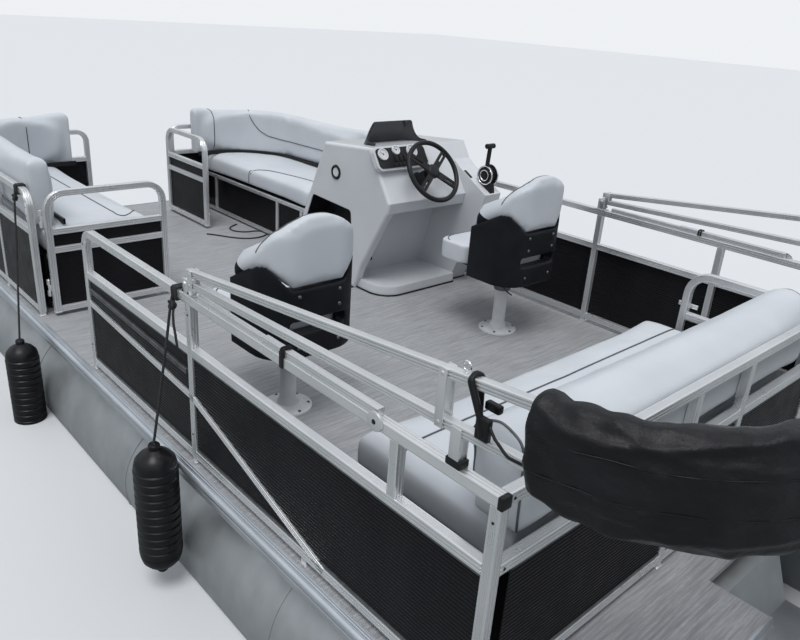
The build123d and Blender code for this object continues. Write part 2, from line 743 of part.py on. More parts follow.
# Dash panel with its gauges on the pod, and the wheel's column boss below it
wheel_y = -700.0
wheel_up = 119.0
wheel_stand = 140.0
wheel_radius = 190.0
rim_radius = 14.0
spoke_width = 40.0
spoke_slot = 12.0
column_radius = 36.0
column_length = 96.0
spindle_radius = 10.0
dash_thickness = 8.0
gauge_height = 6.0
gauges = (
    # local x, local y, radius
    (455.0, 282.0, 34.0), (560.0, 302.0, 27.0), (679.0, 288.0, 38.0),
)
with BuildPart() as dash_panel:
    with BuildSketch(dash_plane.offset(pod_height)):
        with Locations((pod_middle, (pod_low + pod_top) / 2)):
            inner_height = pod_top - pod_low - 2 * pod_border
            RectangleRounded(pod_span - 2 * pod_border, inner_height, pod_round - pod_border)
    extrude(amount=dash_thickness)
    with BuildSketch(dash_plane.offset(pod_height + dash_thickness)):
        for x, y, radius in gauges:
            with Locations((x, y)):
                Circle(radius)
    extrude(amount=gauge_height)
    # Column boss on its own flange
    with BuildSketch(dash_plane):
        with Locations((-wheel_y, wheel_up)):
            Circle(column_radius + 14)
    extrude(amount=dash_thickness)
    with BuildSketch(dash_plane.offset(dash_thickness)):
        with Locations((-wheel_y, wheel_up)):
            Circle(column_radius)
    extrude(amount=column_length - dash_thickness)
    with BuildSketch(dash_plane.offset(column_length)):
        with Locations((-wheel_y, wheel_up)):
            Circle(spindle_radius + running_clearance)
    extrude(amount=-(column_length - dash_thickness), mode=Mode.SUBTRACT)
save(dash_panel, "dash_panel")

wheel_plane = dash_plane.offset(wheel_stand)
wheel_centre = wheel_plane.from_local_coords((-wheel_y, wheel_up, 0))
with BuildPart() as steering_wheel:
    with BuildSketch(Plane(origin=wheel_centre, x_dir=wheel_plane.x_dir, z_dir=-wheel_plane.y_dir)):
        with Locations((wheel_radius - rim_radius, 0)):
            Circle(rim_radius)
    revolve(axis=Axis(wheel_centre, wheel_plane.z_dir))
    with BuildSketch(wheel_plane.offset(-6)):
        with Locations((-wheel_y, wheel_up)):
            Circle(42)
        for angle in (38, 142, 218, 322):
            with Locations(Location((-wheel_y, wheel_up, 0), (0, 0, angle))):
                with Locations((wheel_radius / 2, 0)):
                    Rectangle(wheel_radius - 20, spoke_width)
                with Locations((wheel_radius * 0.62, 0)):
                    SlotOverall(wheel_radius * 0.36, spoke_slot, mode=Mode.SUBTRACT)
    extrude(amount=12)
    with BuildSketch(wheel_plane.offset(-(wheel_stand - dash_thickness - 4))):
        with Locations((-wheel_y, wheel_up)):
            Circle(spindle_radius)
    extrude(amount=wheel_stand - dash_thickness)
save(steering_wheel, "steering_wheel")

# Windscreen: a bent sheet that stands on the console's top, narrower at its top edge
top_fall = (console_dash[1] - console_top[1]) / (console_top[0] - console_dash[0])
screen_port = -500.0
screen_starboard = -1040.0
screen_aft = 60.0
screen_fore = 215.0
screen_height = 118.0
screen_bend = 110.0
screen_taper = 75.0
screen_sheet = 5.0
with BuildPart() as windscreen:
    with BuildSketch(Plane.XY.offset(dash_z - 40)):
        with BuildLine():
            FilletPolyline(
                (dash_x + screen_aft, screen_port), (dash_x + screen_fore, screen_port),
                (dash_x + screen_fore, screen_starboard), (dash_x + screen_aft, screen_starboard),
                radius=screen_bend,
            )
        trace(line_width=screen_sheet)
    extrude(amount=170)
    with BuildSketch(Plane.XZ):
        with BuildLine():
            aft_x, fore_x = dash_x + screen_aft - 6, dash_x + screen_fore + 6
            screen_top = dash_z + screen_height
            Polyline(
                (aft_x, dash_z + running_clearance - (screen_aft - 6) * top_fall),
                (fore_x, dash_z + running_clearance - (screen_fore + 6) * top_fall),
                (fore_x, screen_top), (aft_x + 90, screen_top), (aft_x, dash_z + 20), close=True,
            )
        make_face()
    extrude(amount=1200, mode=Mode.INTERSECT)
    with BuildSketch(Plane.YZ.offset(dash_x)) as outline:
        with BuildLine():
            low_y, high_y = screen_starboard - screen_sheet, screen_port + screen_sheet
            Polyline(
                (low_y, dash_z - 60), (high_y, dash_z - 60), (high_y, dash_z),
                (high_y - screen_taper, screen_top), (low_y + screen_taper, screen_top), (low_y, dash_z),
                close=True,
            )
        make_face()
        fillet(outline.vertices().group_by(Axis.Z)[-1], 30)
    extrude(amount=screen_fore + 20, mode=Mode.INTERSECT)
save(windscreen, "windscreen")

# Throttle control on the starboard arm: a drum on its side, a lever and a knob
throttle_x = 2151.0
throttle_y = -1120.0
throttle_z = 722.0
drum_radius = 50.0
drum_length = 56.0
lever_width = 22.0
lever_length = 178.0
lever_rake = 4.0
knob_radius = 15.0
knob_length = 64.0
foot_half = 30.0
arm_slope = atan2(arm_knee[1] - arm_nose[1], arm_knee[0] - arm_nose[0])
drum_x = at(throttle_x)
drum_z = deck_top + throttle_z
drum_axis = Plane(origin=(drum_x, throttle_y - drum_length / 2, drum_z), x_dir=(1, 0, 0), z_dir=(0, 1, 0))
with BuildPart() as throttle:
    # Foot that sits on the arm's slope
    with BuildSketch(Plane.XZ.offset(-(throttle_y + 20))):
        with BuildLine():
            arm_z = deck_top + arm_nose[1] + (throttle_x - arm_nose[0]) * tan(arm_slope)
            run = drum_radius * tan(arm_slope)
            Polyline(
                (drum_x - drum_radius, arm_z - run), (drum_x + drum_radius, arm_z + run),
                (drum_x + foot_half, drum_z - 10), (drum_x - foot_half, drum_z - 10),
                close=True,
            )
        make_face()
    extrude(amount=40)
    with BuildSketch(drum_axis):
        Circle(drum_radius + 8)
    extrude(amount=10)
    with BuildSketch(drum_axis):
        Circle(drum_radius)
    extrude(amount=drum_length)
    with BuildSketch(drum_axis.offset(drum_length)):
        Circle(20)
    extrude(amount=6)
    # Lever, leaning a little, and its cross knob
    with BuildSketch(drum_axis.offset(drum_length)):
        with Locations(Location((0, 0, 0), (0, 0, -90 - lever_rake))):
            with Locations((lever_length / 2, 0)):
                Rectangle(lever_length, lever_width)
    extrude(amount=-14)
    knob_at = drum_axis.offset(drum_length - knob_length / 2 - 7).from_local_coords(
        (-lever_length * sin(radians(lever_rake)), -lever_length * cos(radians(lever_rake)), 0)
    )
    with BuildSketch(Plane(origin=knob_at, x_dir=(1, 0, 0), z_dir=(0, 1, 0))):
        Circle(knob_radius)
    extrude(amount=knob_length)
save(throttle, "throttle_control")

# Captain's chairs: a shell with wings, a back cushion with a round top, and a seat cushion
flange_radius = 105.0
pedestal_radius = 36.0
pedestal_height = 330.0
spindle = 20.0
spindle_depth = 70.0
wrap_thickness = 60.0
back_half = 195.0
back_offset = 185.0
back_bend = 110.0
chair_seat_base = 360.0
chair_seat_top = 480.0
pan_thickness = 14.0
pan_length = 450.0
pan_width = 330.0
seat_reach = 330.0
seat_width = 430.0
seat_round = 70.0
shell_low = 330.0
cushion_low = 620.0
cushion_low_half = 128.0
wing_top = 745.0
wing_reach = 80.0
chair_back_top = 905.0
slot_low = 440.0
slot_high = 490.0
slot_half = 130.0
chair_rows = (
    # name, x forward of the stern fence, y
    ("companion", 1555.0, 735.0),
    ("helm", 1606.0, -707.0),
)
back_outer = back_half + wrap_thickness / 2
pan_middle = pan_length / 2 - back_offset + wrap_thickness / 2 - 5


def wrap(plane, reach, height):
    """Wrap-around wall of a chair's back: U-shaped in plan, open to the bow."""
    with BuildSketch(plane) as strip:
        with BuildLine():
            FilletPolyline(
                (reach, back_half), (-back_offset, back_half), (-back_offset, -back_half), (reach, -back_half),
                radius=back_bend,
            )
        trace(line_width=wrap_thickness)
    extrude(strip.sketch, amount=height)


for name, chair_x, chair_y in chair_rows:
    x = at(chair_x)
    base = Plane(origin=(x, chair_y, deck_top))
    rear_x = x - back_offset - wrap_thickness
    rear = Plane(origin=(rear_x, chair_y, deck_top), x_dir=(0, 1, 0), z_dir=(1, 0, 0))
    reach = back_offset + wrap_thickness + wing_reach + 10
    with BuildPart() as pedestal:
        with BuildSketch(Plane(origin=(x, chair_y, deck_top), x_dir=(1, 0, 0), z_dir=(0, -1, 0))):
            with BuildLine():
                Polyline(
                    (0, 0), (flange_radius, 0), (flange_radius, 8), (pedestal_radius + 12, 22),
                    (pedestal_radius, 50), (pedestal_radius, 240), (pedestal_radius + 8, 240),
                    (pedestal_radius + 8, 290), (pedestal_radius + 30, 300),
                    (pedestal_radius + 30, pedestal_height),
                    (spindle + running_clearance, pedestal_height),
                    (spindle + running_clearance, pedestal_height - spindle_depth),
                    (0, pedestal_height - spindle_depth), close=True,
                )
            make_face()
        revolve(axis=Axis((x, chair_y, 0), (0, 0, 1)))
        with BuildSketch(base):
            with PolarLocations(flange_radius - 16, 6):
                Circle(5)
        extrude(amount=30, mode=Mode.SUBTRACT)
    save(pedestal, f"{name}_chair_pedestal")
    with BuildPart() as shell:
        wrap(base.offset(shell_low), wing_reach, wing_top - shell_low)
        # The back cushion's outline, cut out of the shell
        with BuildSketch(rear):
            with BuildLine():
                side = back_outer + 5
                Polyline(
                    (-cushion_low_half, cushion_low), (cushion_low_half, cushion_low), (side, wing_top),
                    (side, wing_top + 50), (-side, wing_top + 50), (-side, wing_top), close=True,
                )
            make_face()
        extrude(amount=reach, mode=Mode.SUBTRACT)
        # Slot that shows the seat cushion
        with BuildSketch(rear):
            with Locations((0, (slot_low + slot_high) / 2)):
                Rectangle(2 * slot_half, slot_high - slot_low)
        extrude(amount=2 * wrap_thickness, mode=Mode.SUBTRACT)
        with BuildSketch(base.offset(chair_seat_base)):
            with Locations((pan_middle, 0)):
                Rectangle(pan_length, pan_width)
        extrude(amount=pan_thickness)
        with BuildSketch(base.offset(pedestal_height + 0.3)):
            Rectangle(300, 260)
        extrude(amount=chair_seat_base - pedestal_height)
        with BuildSketch(base.offset(pedestal_height - spindle_depth + 2)):
            Circle(spindle)
        extrude(amount=spindle_depth)
    save(shell, f"{name}_chair_shell")
    with BuildPart() as upholstery:
        wrap(base.offset(cushion_low), wing_reach - 20, chair_back_top - cushion_low)
        with BuildSketch(rear):
            with BuildLine():
                side = back_outer + 5
                Polyline(
                    (-side, wing_top + 15), (-side, wing_top), (-cushion_low_half, cushion_low),
                    (cushion_low_half, cushion_low), (side, wing_top), (side, wing_top + 15),
                )
                ThreePointArc((side, wing_top + 15), (0, chair_back_top), (-side, wing_top + 15))
            make_face()
        extrude(amount=reach, mode=Mode.INTERSECT)
        low = chair_seat_base + pan_thickness
        inside = wrap_thickness / 2 - back_offset + 3
        with BuildSketch(base.offset(low)):
            with Locations(((inside + seat_reach) / 2, 0)):
                RectangleRounded(seat_reach - inside, 2 * (back_half - wrap_thickness / 2) - 8, seat_round)
            with Locations(((wing_reach + 15 + seat_reach) / 2, 0)):
                RectangleRounded(seat_reach - wing_reach - 15, seat_width, seat_round)
        extrude(amount=chair_seat_top - low)
    save(upholstery, f"{name}_chair_upholstery")

# Bimini top, folded aft above the top rails, with its crossbars in a boot
bow_tube = 25.0
pivot_forward = 1404.0
pivot_above = 44.0
bow_length = 1930.0
bow_bend = 440.0
link_forward = 190.0
crutch_forward = 135.0
strut_front = 1337.0
strut_joint = 931.0
strut_aft = 400.0
strut_bar = 20.0
strut_plate = 28.0
rail_top = deck_top + fence_top
bow_rows = (
    # height of the front end above the rail, rise in degrees, front end, length
    (pivot_above, 2.3, 0.0, bow_length),
    (pivot_above + 38.0, 6.3, 20.0, bow_length - 4),
)
boot_start = 1464.0
boot_height = 214.0
boot_width = 110.0
boot_rise = 4.3
boot_above = 64.0


def bow_plane(above, rise):
    """Plane of a bow, hinged at the pivot's station: local x runs aft."""
    turn = radians(rise)
    return Plane(
        origin=(at(pivot_forward), 0, rail_top + above),
        x_dir=(-cos(turn), 0, sin(turn)), z_dir=(sin(turn), 0, cos(turn)),
    )


def bow_path(start, length):
    """U-shaped line of a bimini bow, from one side to the other."""
    FilletPolyline(
        (start, fence_y), (length, fence_y), (length, -fence_y), (start, -fence_y), radius=bow_bend,
    )


def bow_height(row, forward):
    """Level of a bow's centre line at a station."""
    above, rise = bow_rows[row][:2]
    return rail_top + above + (pivot_forward - forward) * tan(radians(rise))


with BuildPart() as bimini_frame:
    for above, rise, start, length in bow_rows:
        with BuildSketch(bow_plane(above, rise).offset(-bow_tube / 2)):
            with BuildLine():
                bow_path(start - 20, length)
            trace(line_width=bow_tube)
        extrude(amount=bow_tube)
    # Links between the two bows
    for forward in (pivot_forward - 30, link_forward):
        for _, sign in SIDES:
            low, high = bow_height(0, forward), bow_height(1, forward)
            outer, inner = sign * fence_y - bow_tube / 2, sign * fence_y + bow_tube / 2
            block((at(forward - 12), outer, low), (at(forward + 12), inner, high))
    with BuildSketch(Plane.XZ):
        with Locations((at(pivot_forward), rail_top + pivot_above)):
            Circle(5 + running_clearance)
    extrude(amount=1400, both=True, mode=Mode.SUBTRACT)
save(bimini_frame, "bimini_frame")

boot_plane = bow_plane(boot_above, boot_rise)
with BuildPart() as bimini_boot:
    with BuildLine(boot_plane) as boot_path:
        bow_path(boot_start, bow_length)
    with BuildSketch(Plane(boot_path.line @ 0, x_dir=(0, 1, 0), z_dir=boot_plane.x_dir)):
        Ellipse(boot_width / 2, boot_height / 2)
    sweep()
    for above, rise, start, length in bow_rows:
        clear = bow_tube + 2 * cushion_gap
        with BuildSketch(bow_plane(above, rise).offset(-clear / 2)):
            with BuildLine():
                bow_path(start, length)
            trace(line_width=clear)
        extrude(amount=clear, mode=Mode.SUBTRACT)
save(bimini_boot, "bimini_boot")

lower_rise = radians(bow_rows[0][1])
crutch_top = bow_height(0, crutch_forward) - bow_tube / 2 / cos(lower_rise) - running_clearance
with BuildPart() as bimini_mounts:
    for _, sign in SIDES:
        y = sign * fence_y
        block((at(pivot_forward - 30), y - 24, rail_top), (at(pivot_forward + 30), y + 24, rail_top + 6))
        for side in (-1, 1):
            middle = y + side * (bow_tube / 2 + running_clearance + 3)
            block(
                (at(pivot_forward - 18), middle - 3, rail_top + 5),
                (at(pivot_forward + 18), middle + 3, rail_top + pivot_above + 18),
            )
        with BuildSketch(Plane.XZ.offset(-(y + bow_tube / 2 + 6))):
            with Locations((at(pivot_forward), rail_top + pivot_above)):
                Circle(5)
        extrude(amount=bow_tube + 12)
        block((at(crutch_forward - 15), y - 12, rail_top), (at(crutch_forward + 15), y + 12, crutch_top - 2))
        with BuildSketch(Plane.XZ.offset(-(y + 12))):
            with BuildLine():
                run = 15 * tan(lower_rise)
                Polyline(
                    (at(crutch_forward - 15), crutch_top - 4), (at(crutch_forward + 15), crutch_top - 4),
                    (at(crutch_forward + 15), crutch_top - run), (at(crutch_forward - 15), crutch_top + run),
                    close=True,
                )
            make_face()
        extrude(amount=24)
        # Folded strut that lies on the rail, with the round plate at its aft end
        half = strut_bar / 2
        block((at(strut_joint), y - half, rail_top), (at(strut_front), y + half, rail_top + strut_bar))
        half = strut_bar / 2 + 2
        block((at(strut_aft), y - half, rail_top), (at(strut_joint + 20), y + half, rail_top + 2 * half))
        with BuildSketch(Plane.XZ.offset(-(y + sign * (tube / 2 + 3)))):
            with Locations((at(strut_aft), rail_top - 8)):
                Circle(strut_plate)
        extrude(amount=3, both=True)
save(bimini_mounts, "bimini_mounts")

# Outboard motor: built upright about its tilt pivot, and tilted up
pivot_x = at(-pivot_aft)
motor_pose = Pos(pivot_x, 0, pivot_height) * Rot(0, motor_tilt, 0)
motor_frame = Plane(motor_pose)


def tilted(plane):
    """Plane given in the upright motor's frame, as it lies with the motor tilted up."""
    return Plane(motor_pose * plane.location)


clamp_gap = 62.0
clamp_thickness = 14.0
pin_radius = 14.0
swivel_width = 2 * clamp_gap - 1.0
swivel_radius = 34.0
swivel_low = -250.0
swivel_high = 40.0
shaft_radius = 18.0
propeller_shaft = 12.0
hub_length = 100.0
hub_wall = 8.0
cowl_base = swivel_high + 45.0
cowl_low = 110.0
cowl_high = 560.0
cowl_front = 70.0
cowl_aft = 480.0
cowl_width = 330.0
with BuildPart() as clamp_bracket:
    lean = tan(radians(transom_angle))
    clamp_low = transom_height - 300
    for cheek in (-1, 1):
        y = cheek * (clamp_gap + clamp_thickness / 2)
        with BuildSketch(Plane.XZ.offset(-y)):
            with BuildLine():
                Polyline(
                    (top_aft - 0.3, transom_height), (top_aft - 0.3, transom_height + 0.3),
                    (top_front + 3, transom_height + 0.3),
                    (top_front + 3, transom_height + 24), (pivot_x + 20, pivot_height + 26),
                    (pivot_x - 24, pivot_height + 20), (pivot_x - 28, pivot_height - 30),
                    (top_aft - 24 + 300 * lean, clamp_low), (top_aft - 0.3 + 300 * lean, clamp_low),
                    close=True,
                )
            make_face()
        extrude(amount=clamp_thickness / 2, both=True)
    with BuildSketch(Plane.XZ):
        with Locations((pivot_x, pivot_height)):
            Circle(pin_radius)
    extrude(amount=clamp_gap + 1, both=True)
save(clamp_bracket, "motor_clamp_bracket")

with BuildPart() as swivel_bracket:
    with BuildSketch(tilted(Plane.XY.offset(swivel_low))):
        with Locations((-steer_aft, 0)):
            Circle(swivel_radius)
    extrude(amount=swivel_high - swivel_low)
    with BuildSketch(tilted(Plane.XZ)):
        with BuildLine():
            Polyline(
                (0, 26), (-steer_aft, 36), (-steer_aft, -200), (-50, -120), (-12, -26), (20, -16), (26, 8),
                close=True,
            )
        make_face()
    extrude(amount=swivel_width / 2, both=True)
    with BuildSketch(tilted(Plane.XZ)):
        Circle(pin_radius + running_clearance)
    extrude(amount=100, both=True, mode=Mode.SUBTRACT)
    with BuildSketch(tilted(Plane.XY.offset(swivel_low - 10))):
        with Locations((-steer_aft, 0)):
            Circle(shaft_radius + running_clearance)
    extrude(amount=400, mode=Mode.SUBTRACT)
save(swivel_bracket, "motor_swivel_bracket")

with BuildPart() as motor_leg:
    # Steering shaft, top yoke and bottom yoke
    with BuildSketch(tilted(Plane.XY.offset(swivel_low - 40))):
        with Locations((-steer_aft, 0)):
            Circle(shaft_radius)
    extrude(amount=swivel_high - swivel_low + 70)
    for low, high in ((swivel_low - 50, swivel_low - 5), (swivel_high + 5, swivel_high + 40)):
        with BuildSketch(tilted(Plane.XY.offset(low))):
            with Locations((-steer_aft - 60, 0)):
                RectangleRounded(190, 110, 30)
        extrude(amount=high - low)
    # Midsection
    with BuildSketch(tilted(Plane.XY.offset(-plate_drop))) as section:
        with Locations((-steer_aft - 150, 0)):
            Ellipse(100, 45)
    extrude(amount=plate_drop + cowl_base - 6)
    # Adapter plate that carries the engine and the cowl
    with BuildSketch(tilted(Plane.XY.offset(cowl_base - 12))):
        with Locations((-(cowl_aft - cowl_front) / 2, 0)):
            RectangleRounded(cowl_aft + cowl_front - 122, cowl_width - 92, 78)
    extrude(amount=12 - running_clearance)
    # Anti-ventilation plate
    with BuildSketch(tilted(Plane.XY.offset(-plate_drop))):
        with Locations((-steer_aft - 190, 0)):
            Ellipse(190, 100)
    extrude(amount=9)
    # Propeller shaft
    with BuildSketch(tilted(Plane.YZ.offset(-propeller_aft + 60))):
        with Locations((0, -shaft_drop)):
            Circle(propeller_shaft)
    extrude(amount=hub_wall - hub_length)
    # Lower leg, gearcase and skeg
    with BuildSketch(tilted(Plane.XY.offset(-shaft_drop))):
        with Locations((-steer_aft - 100, 0)):
            Ellipse(80, 24)
    extrude(amount=shaft_drop - plate_drop)
    with BuildSketch(tilted(Plane.XZ)):
        with BuildLine():
            nose = (-110, -shaft_drop)
            tail = (-propeller_aft + 60, -shaft_drop)
            Polyline(nose, tail, (-propeller_aft + 60, -shaft_drop + 46), (-220, -shaft_drop + 50))
            TangentArc((-220, -shaft_drop + 50), nose, tangent=(1, 0))
        make_face()
    revolve(axis=Axis(motor_frame.from_local_coords((0, 0, -shaft_drop)), motor_frame.x_dir))
    with BuildSketch(tilted(Plane.XZ)):
        with BuildLine():
            Polyline(
                (-130, -shaft_drop), (-skeg_aft + 60, -skeg_drop), (-skeg_aft, -skeg_drop),
                (-skeg_aft, -shaft_drop), close=True,
            )
        make_face()
    extrude(amount=7, both=True)
save(motor_leg, "motor_leg")

with BuildPart() as motor_cowl:
    with BuildSketch(tilted(Plane.XY.offset(cowl_base))):
        with Locations((-(cowl_aft - cowl_front) / 2, 0)):
            RectangleRounded(cowl_aft + cowl_front - 120, cowl_width - 90, 80)
    with BuildSketch(tilted(Plane.XY.offset(cowl_low + 60))):
        with Locations((-(cowl_aft - cowl_front) / 2, 0)):
            RectangleRounded(cowl_aft + cowl_front, cowl_width, 120)
    loft()
    with BuildSketch(tilted(Plane.XY.offset(cowl_low + 60))):
        with Locations((-(cowl_aft - cowl_front) / 2, 0)):
            RectangleRounded(cowl_aft + cowl_front, cowl_width, 120)
    with BuildSketch(tilted(Plane.XY.offset(cowl_high))):
        with Locations((-(cowl_aft - cowl_front) / 2 - 20, 0)):
            RectangleRounded(cowl_aft + cowl_front - 150, cowl_width - 90, 80)
    loft()
    with BuildSketch(tilted(Plane.XY.offset(cowl_base))):
        with Locations((-(cowl_aft - cowl_front) / 2, 0)):
            RectangleRounded(380, 222, 60)
    extrude(amount=cowl_high - cowl_base - 40, mode=Mode.SUBTRACT)
save(motor_cowl, "motor_cowl")

with BuildPart() as engine_block:
    with BuildSketch(tilted(Plane.XY.offset(cowl_base))):
        with Locations((-(cowl_aft - cowl_front) / 2, 0)):
            Rectangle(320, 180)
    extrude(amount=cowl_high - cowl_base - 80)
save(engine_block, "engine_block")

blade_count = 3
hub_radius = 44.0
prop_front = -propeller_aft + 54
with BuildPart() as propeller:
    with BuildSketch(tilted(Plane.YZ.offset(prop_front))):
        with Locations((0, -shaft_drop)):
            Circle(hub_radius)
    extrude(amount=-hub_length)
    for index in range(blade_count):
        angle = index * 360 / blade_count
        blade_plane = Plane(
            motor_pose * Pos(prop_front - hub_length / 2, 0, -shaft_drop) * Rot(angle, 0, 0) * Rot(0, 0, 28)
        )
        with BuildSketch(Plane(blade_plane.origin, x_dir=blade_plane.y_dir, z_dir=blade_plane.x_dir)):
            with Locations((0, propeller_radius / 2 + 10)):
                Ellipse(52, propeller_radius / 2 - 10)
        extrude(amount=3, both=True)
    with BuildSketch(tilted(Plane.YZ.offset(prop_front + 1))):
        with Locations((0, -shaft_drop)):
            Circle(propeller_shaft + running_clearance)
    extrude(amount=hub_wall - hub_length, mode=Mode.SUBTRACT)
save(propeller, "propeller")

# Fenders on their lines, and the line left lying on the deck
fender_radius = 82.5
fender_length = 584.0
fender_shoulder = 60.0
fender_neck = 22.0
fender_tip = 26.0
fender_clear = 2.0
line_diameter = 10.0
fender_y = beam / 2 + fender_radius + fender_clear
fender_rows = (
    # name, x forward of the stern fence, top level above the deck, x of the hitch
    ("aft", 1470.0, 90.0, 1484.0),
    ("fore", 3070.0, -100.0, 3210.0),
)
hitch_width = 34.0
hitch_wall = 9.0
for name, fender_forward, fender_top, hitch_forward in fender_rows:
    axis_x = at(fender_forward)
    middle_z = deck_top + fender_top - fender_length / 2
    with BuildPart() as fender:
        # Half profile about the fender's axis: local x outward, local y up from its middle
        with BuildSketch(Plane(origin=(axis_x, fender_y, middle_z), x_dir=(1, 0, 0), z_dir=(0, -1, 0))):
            with BuildLine():
                half = fender_length / 2
                side = half - fender_tip - fender_shoulder
                tip = half - fender_tip
                Polyline((0, half), (fender_neck, half), (fender_neck, tip))
                ThreePointArc((fender_neck, tip), (66, half - 48), (fender_radius, side))
                Line((fender_radius, side), (fender_radius, -side))
                ThreePointArc((fender_radius, -side), (66, 48 - half), (fender_neck, -tip))
                Polyline((fender_neck, -tip), (fender_neck, -half), (0, -half), (0, half))
            make_face()
        revolve(axis=Axis((axis_x, fender_y, 0), (0, 0, 1)))
    save(fender, f"fender_{name}")
    with BuildPart() as fender_line:
        # Hitch round the top rail
        hitch_x = at(hitch_forward)
        outer = tube + 2 * hitch_wall
        with Locations((hitch_x, fence_y, top_z)):
            Box(hitch_width, outer, outer)
            Box(hitch_width, tube + 2 * cushion_gap, tube + 2 * cushion_gap, mode=Mode.SUBTRACT)
        # Run down to the fender's eye
        start = Vector(hitch_x, fence_y + tube / 2 + hitch_wall, top_z)
        finish = Vector(axis_x, fender_y, deck_top + fender_top + cushion_gap)
        run = finish - start
        with BuildSketch(Plane(origin=start, z_dir=run)):
            Circle(line_diameter / 2)
        extrude(amount=run.length - line_diameter / 2 * hypot(run.X, run.Y) / abs(run.Z))
    save(fender_line, f"fender_line_{name}")

deck_line_height = line_diameter / 2 + 0.3
deck_line_route = (
    # x forward of the stern fence, y
    (4110.0, -520.0), (4075.0, -440.0), (4010.0, -400.0), (3935.0, -420.0), (3890.0, -480.0), (3890.0, -545.0),
    (3850.0, -600.0), (3780.0, -590.0), (3735.0, -520.0), (3730.0, -435.0), (3770.0, -355.0), (3840.0, -300.0),
    (3920.0, -255.0), (3990.0, -200.0),
)
with BuildPart() as deck_line:
    points = [(at(x), y, deck_top + deck_line_height) for x, y in deck_line_route]
    radii = []
    for before, point, after in zip(points, points[1:], points[2:]):
        first, second = Vector(point) - Vector(before), Vector(after) - Vector(point)
        turn = first.get_angle(second)
        radii.append(0.45 * min(first.length, second.length) / tan(radians(turn / 2)))
    with BuildLine() as route:
        FilletPolyline(*points, radius=radii)
    with BuildSketch(Plane(origin=points[0], z_dir=Vector(points[1]) - Vector(points[0]))):
        Circle(line_diameter / 2)
    sweep()
print("deck line radii", [round(radius) for radius in radii])
line_length = route.wire().length
line_section = pi * line_diameter**2 / 4
volume_ratio = deck_line.part.volume / line_length / line_section
print("deck line length", round(line_length), "volume ratio", round(volume_ratio, 4))
save(deck_line, "deck_line")
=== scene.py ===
"""Pontoon boat: finishes, upholstery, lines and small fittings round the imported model. Metres, bow to +X."""
import math

import bmesh
import bpy
from mathutils import Matrix, Quaternion, Vector, noise
from mathutils.bvhtree import BVHTree


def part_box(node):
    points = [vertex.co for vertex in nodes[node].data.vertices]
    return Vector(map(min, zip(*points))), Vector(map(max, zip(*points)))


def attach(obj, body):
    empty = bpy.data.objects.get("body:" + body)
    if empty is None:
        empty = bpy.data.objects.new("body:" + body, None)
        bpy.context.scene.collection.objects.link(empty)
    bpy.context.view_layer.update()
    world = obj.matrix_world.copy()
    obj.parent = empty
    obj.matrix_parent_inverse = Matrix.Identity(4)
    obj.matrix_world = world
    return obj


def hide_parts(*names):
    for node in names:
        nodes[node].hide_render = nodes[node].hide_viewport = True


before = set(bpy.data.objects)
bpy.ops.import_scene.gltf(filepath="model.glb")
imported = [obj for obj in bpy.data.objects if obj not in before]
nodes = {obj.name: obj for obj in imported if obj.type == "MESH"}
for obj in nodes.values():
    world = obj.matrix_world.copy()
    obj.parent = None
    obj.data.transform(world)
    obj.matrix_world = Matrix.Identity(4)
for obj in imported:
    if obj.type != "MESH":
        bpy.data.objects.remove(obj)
bpy.ops.object.select_all(action="DESELECT")
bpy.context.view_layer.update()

# Places that the looks share, read from the model
DECK_AFT = 0.344
deck_low, deck_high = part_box("deck")
STERN = deck_low.x + DECK_AFT
DECK = deck_high.z
WATERLINE = 0.215
FENCE_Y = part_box("fence_frame_port")[1].y - 0.016


def at(forward):
    """X of a station given forward of the stern fence."""
    return STERN + forward


# Shader node helpers
def fill_inputs(tree, node, values):
    """Link a node's inputs to sockets, and set the others to their values."""
    for key, value in values.items():
        if isinstance(value, bpy.types.NodeSocket):
            tree.links.new(value, node.inputs[key])
        else:
            node.inputs[key].default_value = value


def add(tree, kind, inputs=None, **settings):
    """A shader node with its settings, and its inputs linked or set."""
    node = tree.nodes.new("ShaderNode" + kind)
    for key, value in settings.items():
        setattr(node, key, value)
    fill_inputs(tree, node, inputs or {})
    return node


def spread(tree, value, low, high, to_low=0.0, to_high=1.0):
    """The middle part of a value's range drawn out over another range."""
    ends = {"From Min": low, "From Max": high, "To Min": to_low, "To Max": to_high}
    return add(tree, "MapRange", {"Value": value, **ends}).outputs["Result"]


def calculate(tree, operation, first, second):
    """Two values put together."""
    return add(tree, "Math", {0: first, 1: second}, operation=operation).outputs["Value"]


def upward(tree):
    """How far a face looks up."""
    normal = add(tree, "NewGeometry").outputs["Normal"]
    return add(tree, "SeparateXYZ", {"Vector": normal}).outputs["Z"]


def blend_colour(tree, mask, first, second):
    """Colour output between two colours or sockets by a mask."""
    node = add(tree, "Mix", data_type="RGBA")
    ends = [value if isinstance(value, bpy.types.NodeSocket) else (*value, 1.0) for value in (first, second)]
    fill_inputs(tree, node, {0: mask, 6: ends[0], 7: ends[1]})
    return node.outputs[2]


def new_group(name, inputs, output):
    """An empty node group: its tree, the sockets that it reads and the one that it fills."""
    tree = bpy.data.node_groups.new(name, "ShaderNodeTree")
    for label, value in {"Vector": None, **inputs}.items():
        kind = "Float" if isinstance(value, float) else "Vector"
        socket = tree.interface.new_socket(label, in_out="INPUT", socket_type="NodeSocket" + kind)
        if value is not None:
            socket.default_value = value
    tree.interface.new_socket(output, in_out="OUTPUT", socket_type="NodeSocketFloat")
    return tree, tree.nodes.new("NodeGroupInput").outputs, tree.nodes.new("NodeGroupOutput").inputs[output]


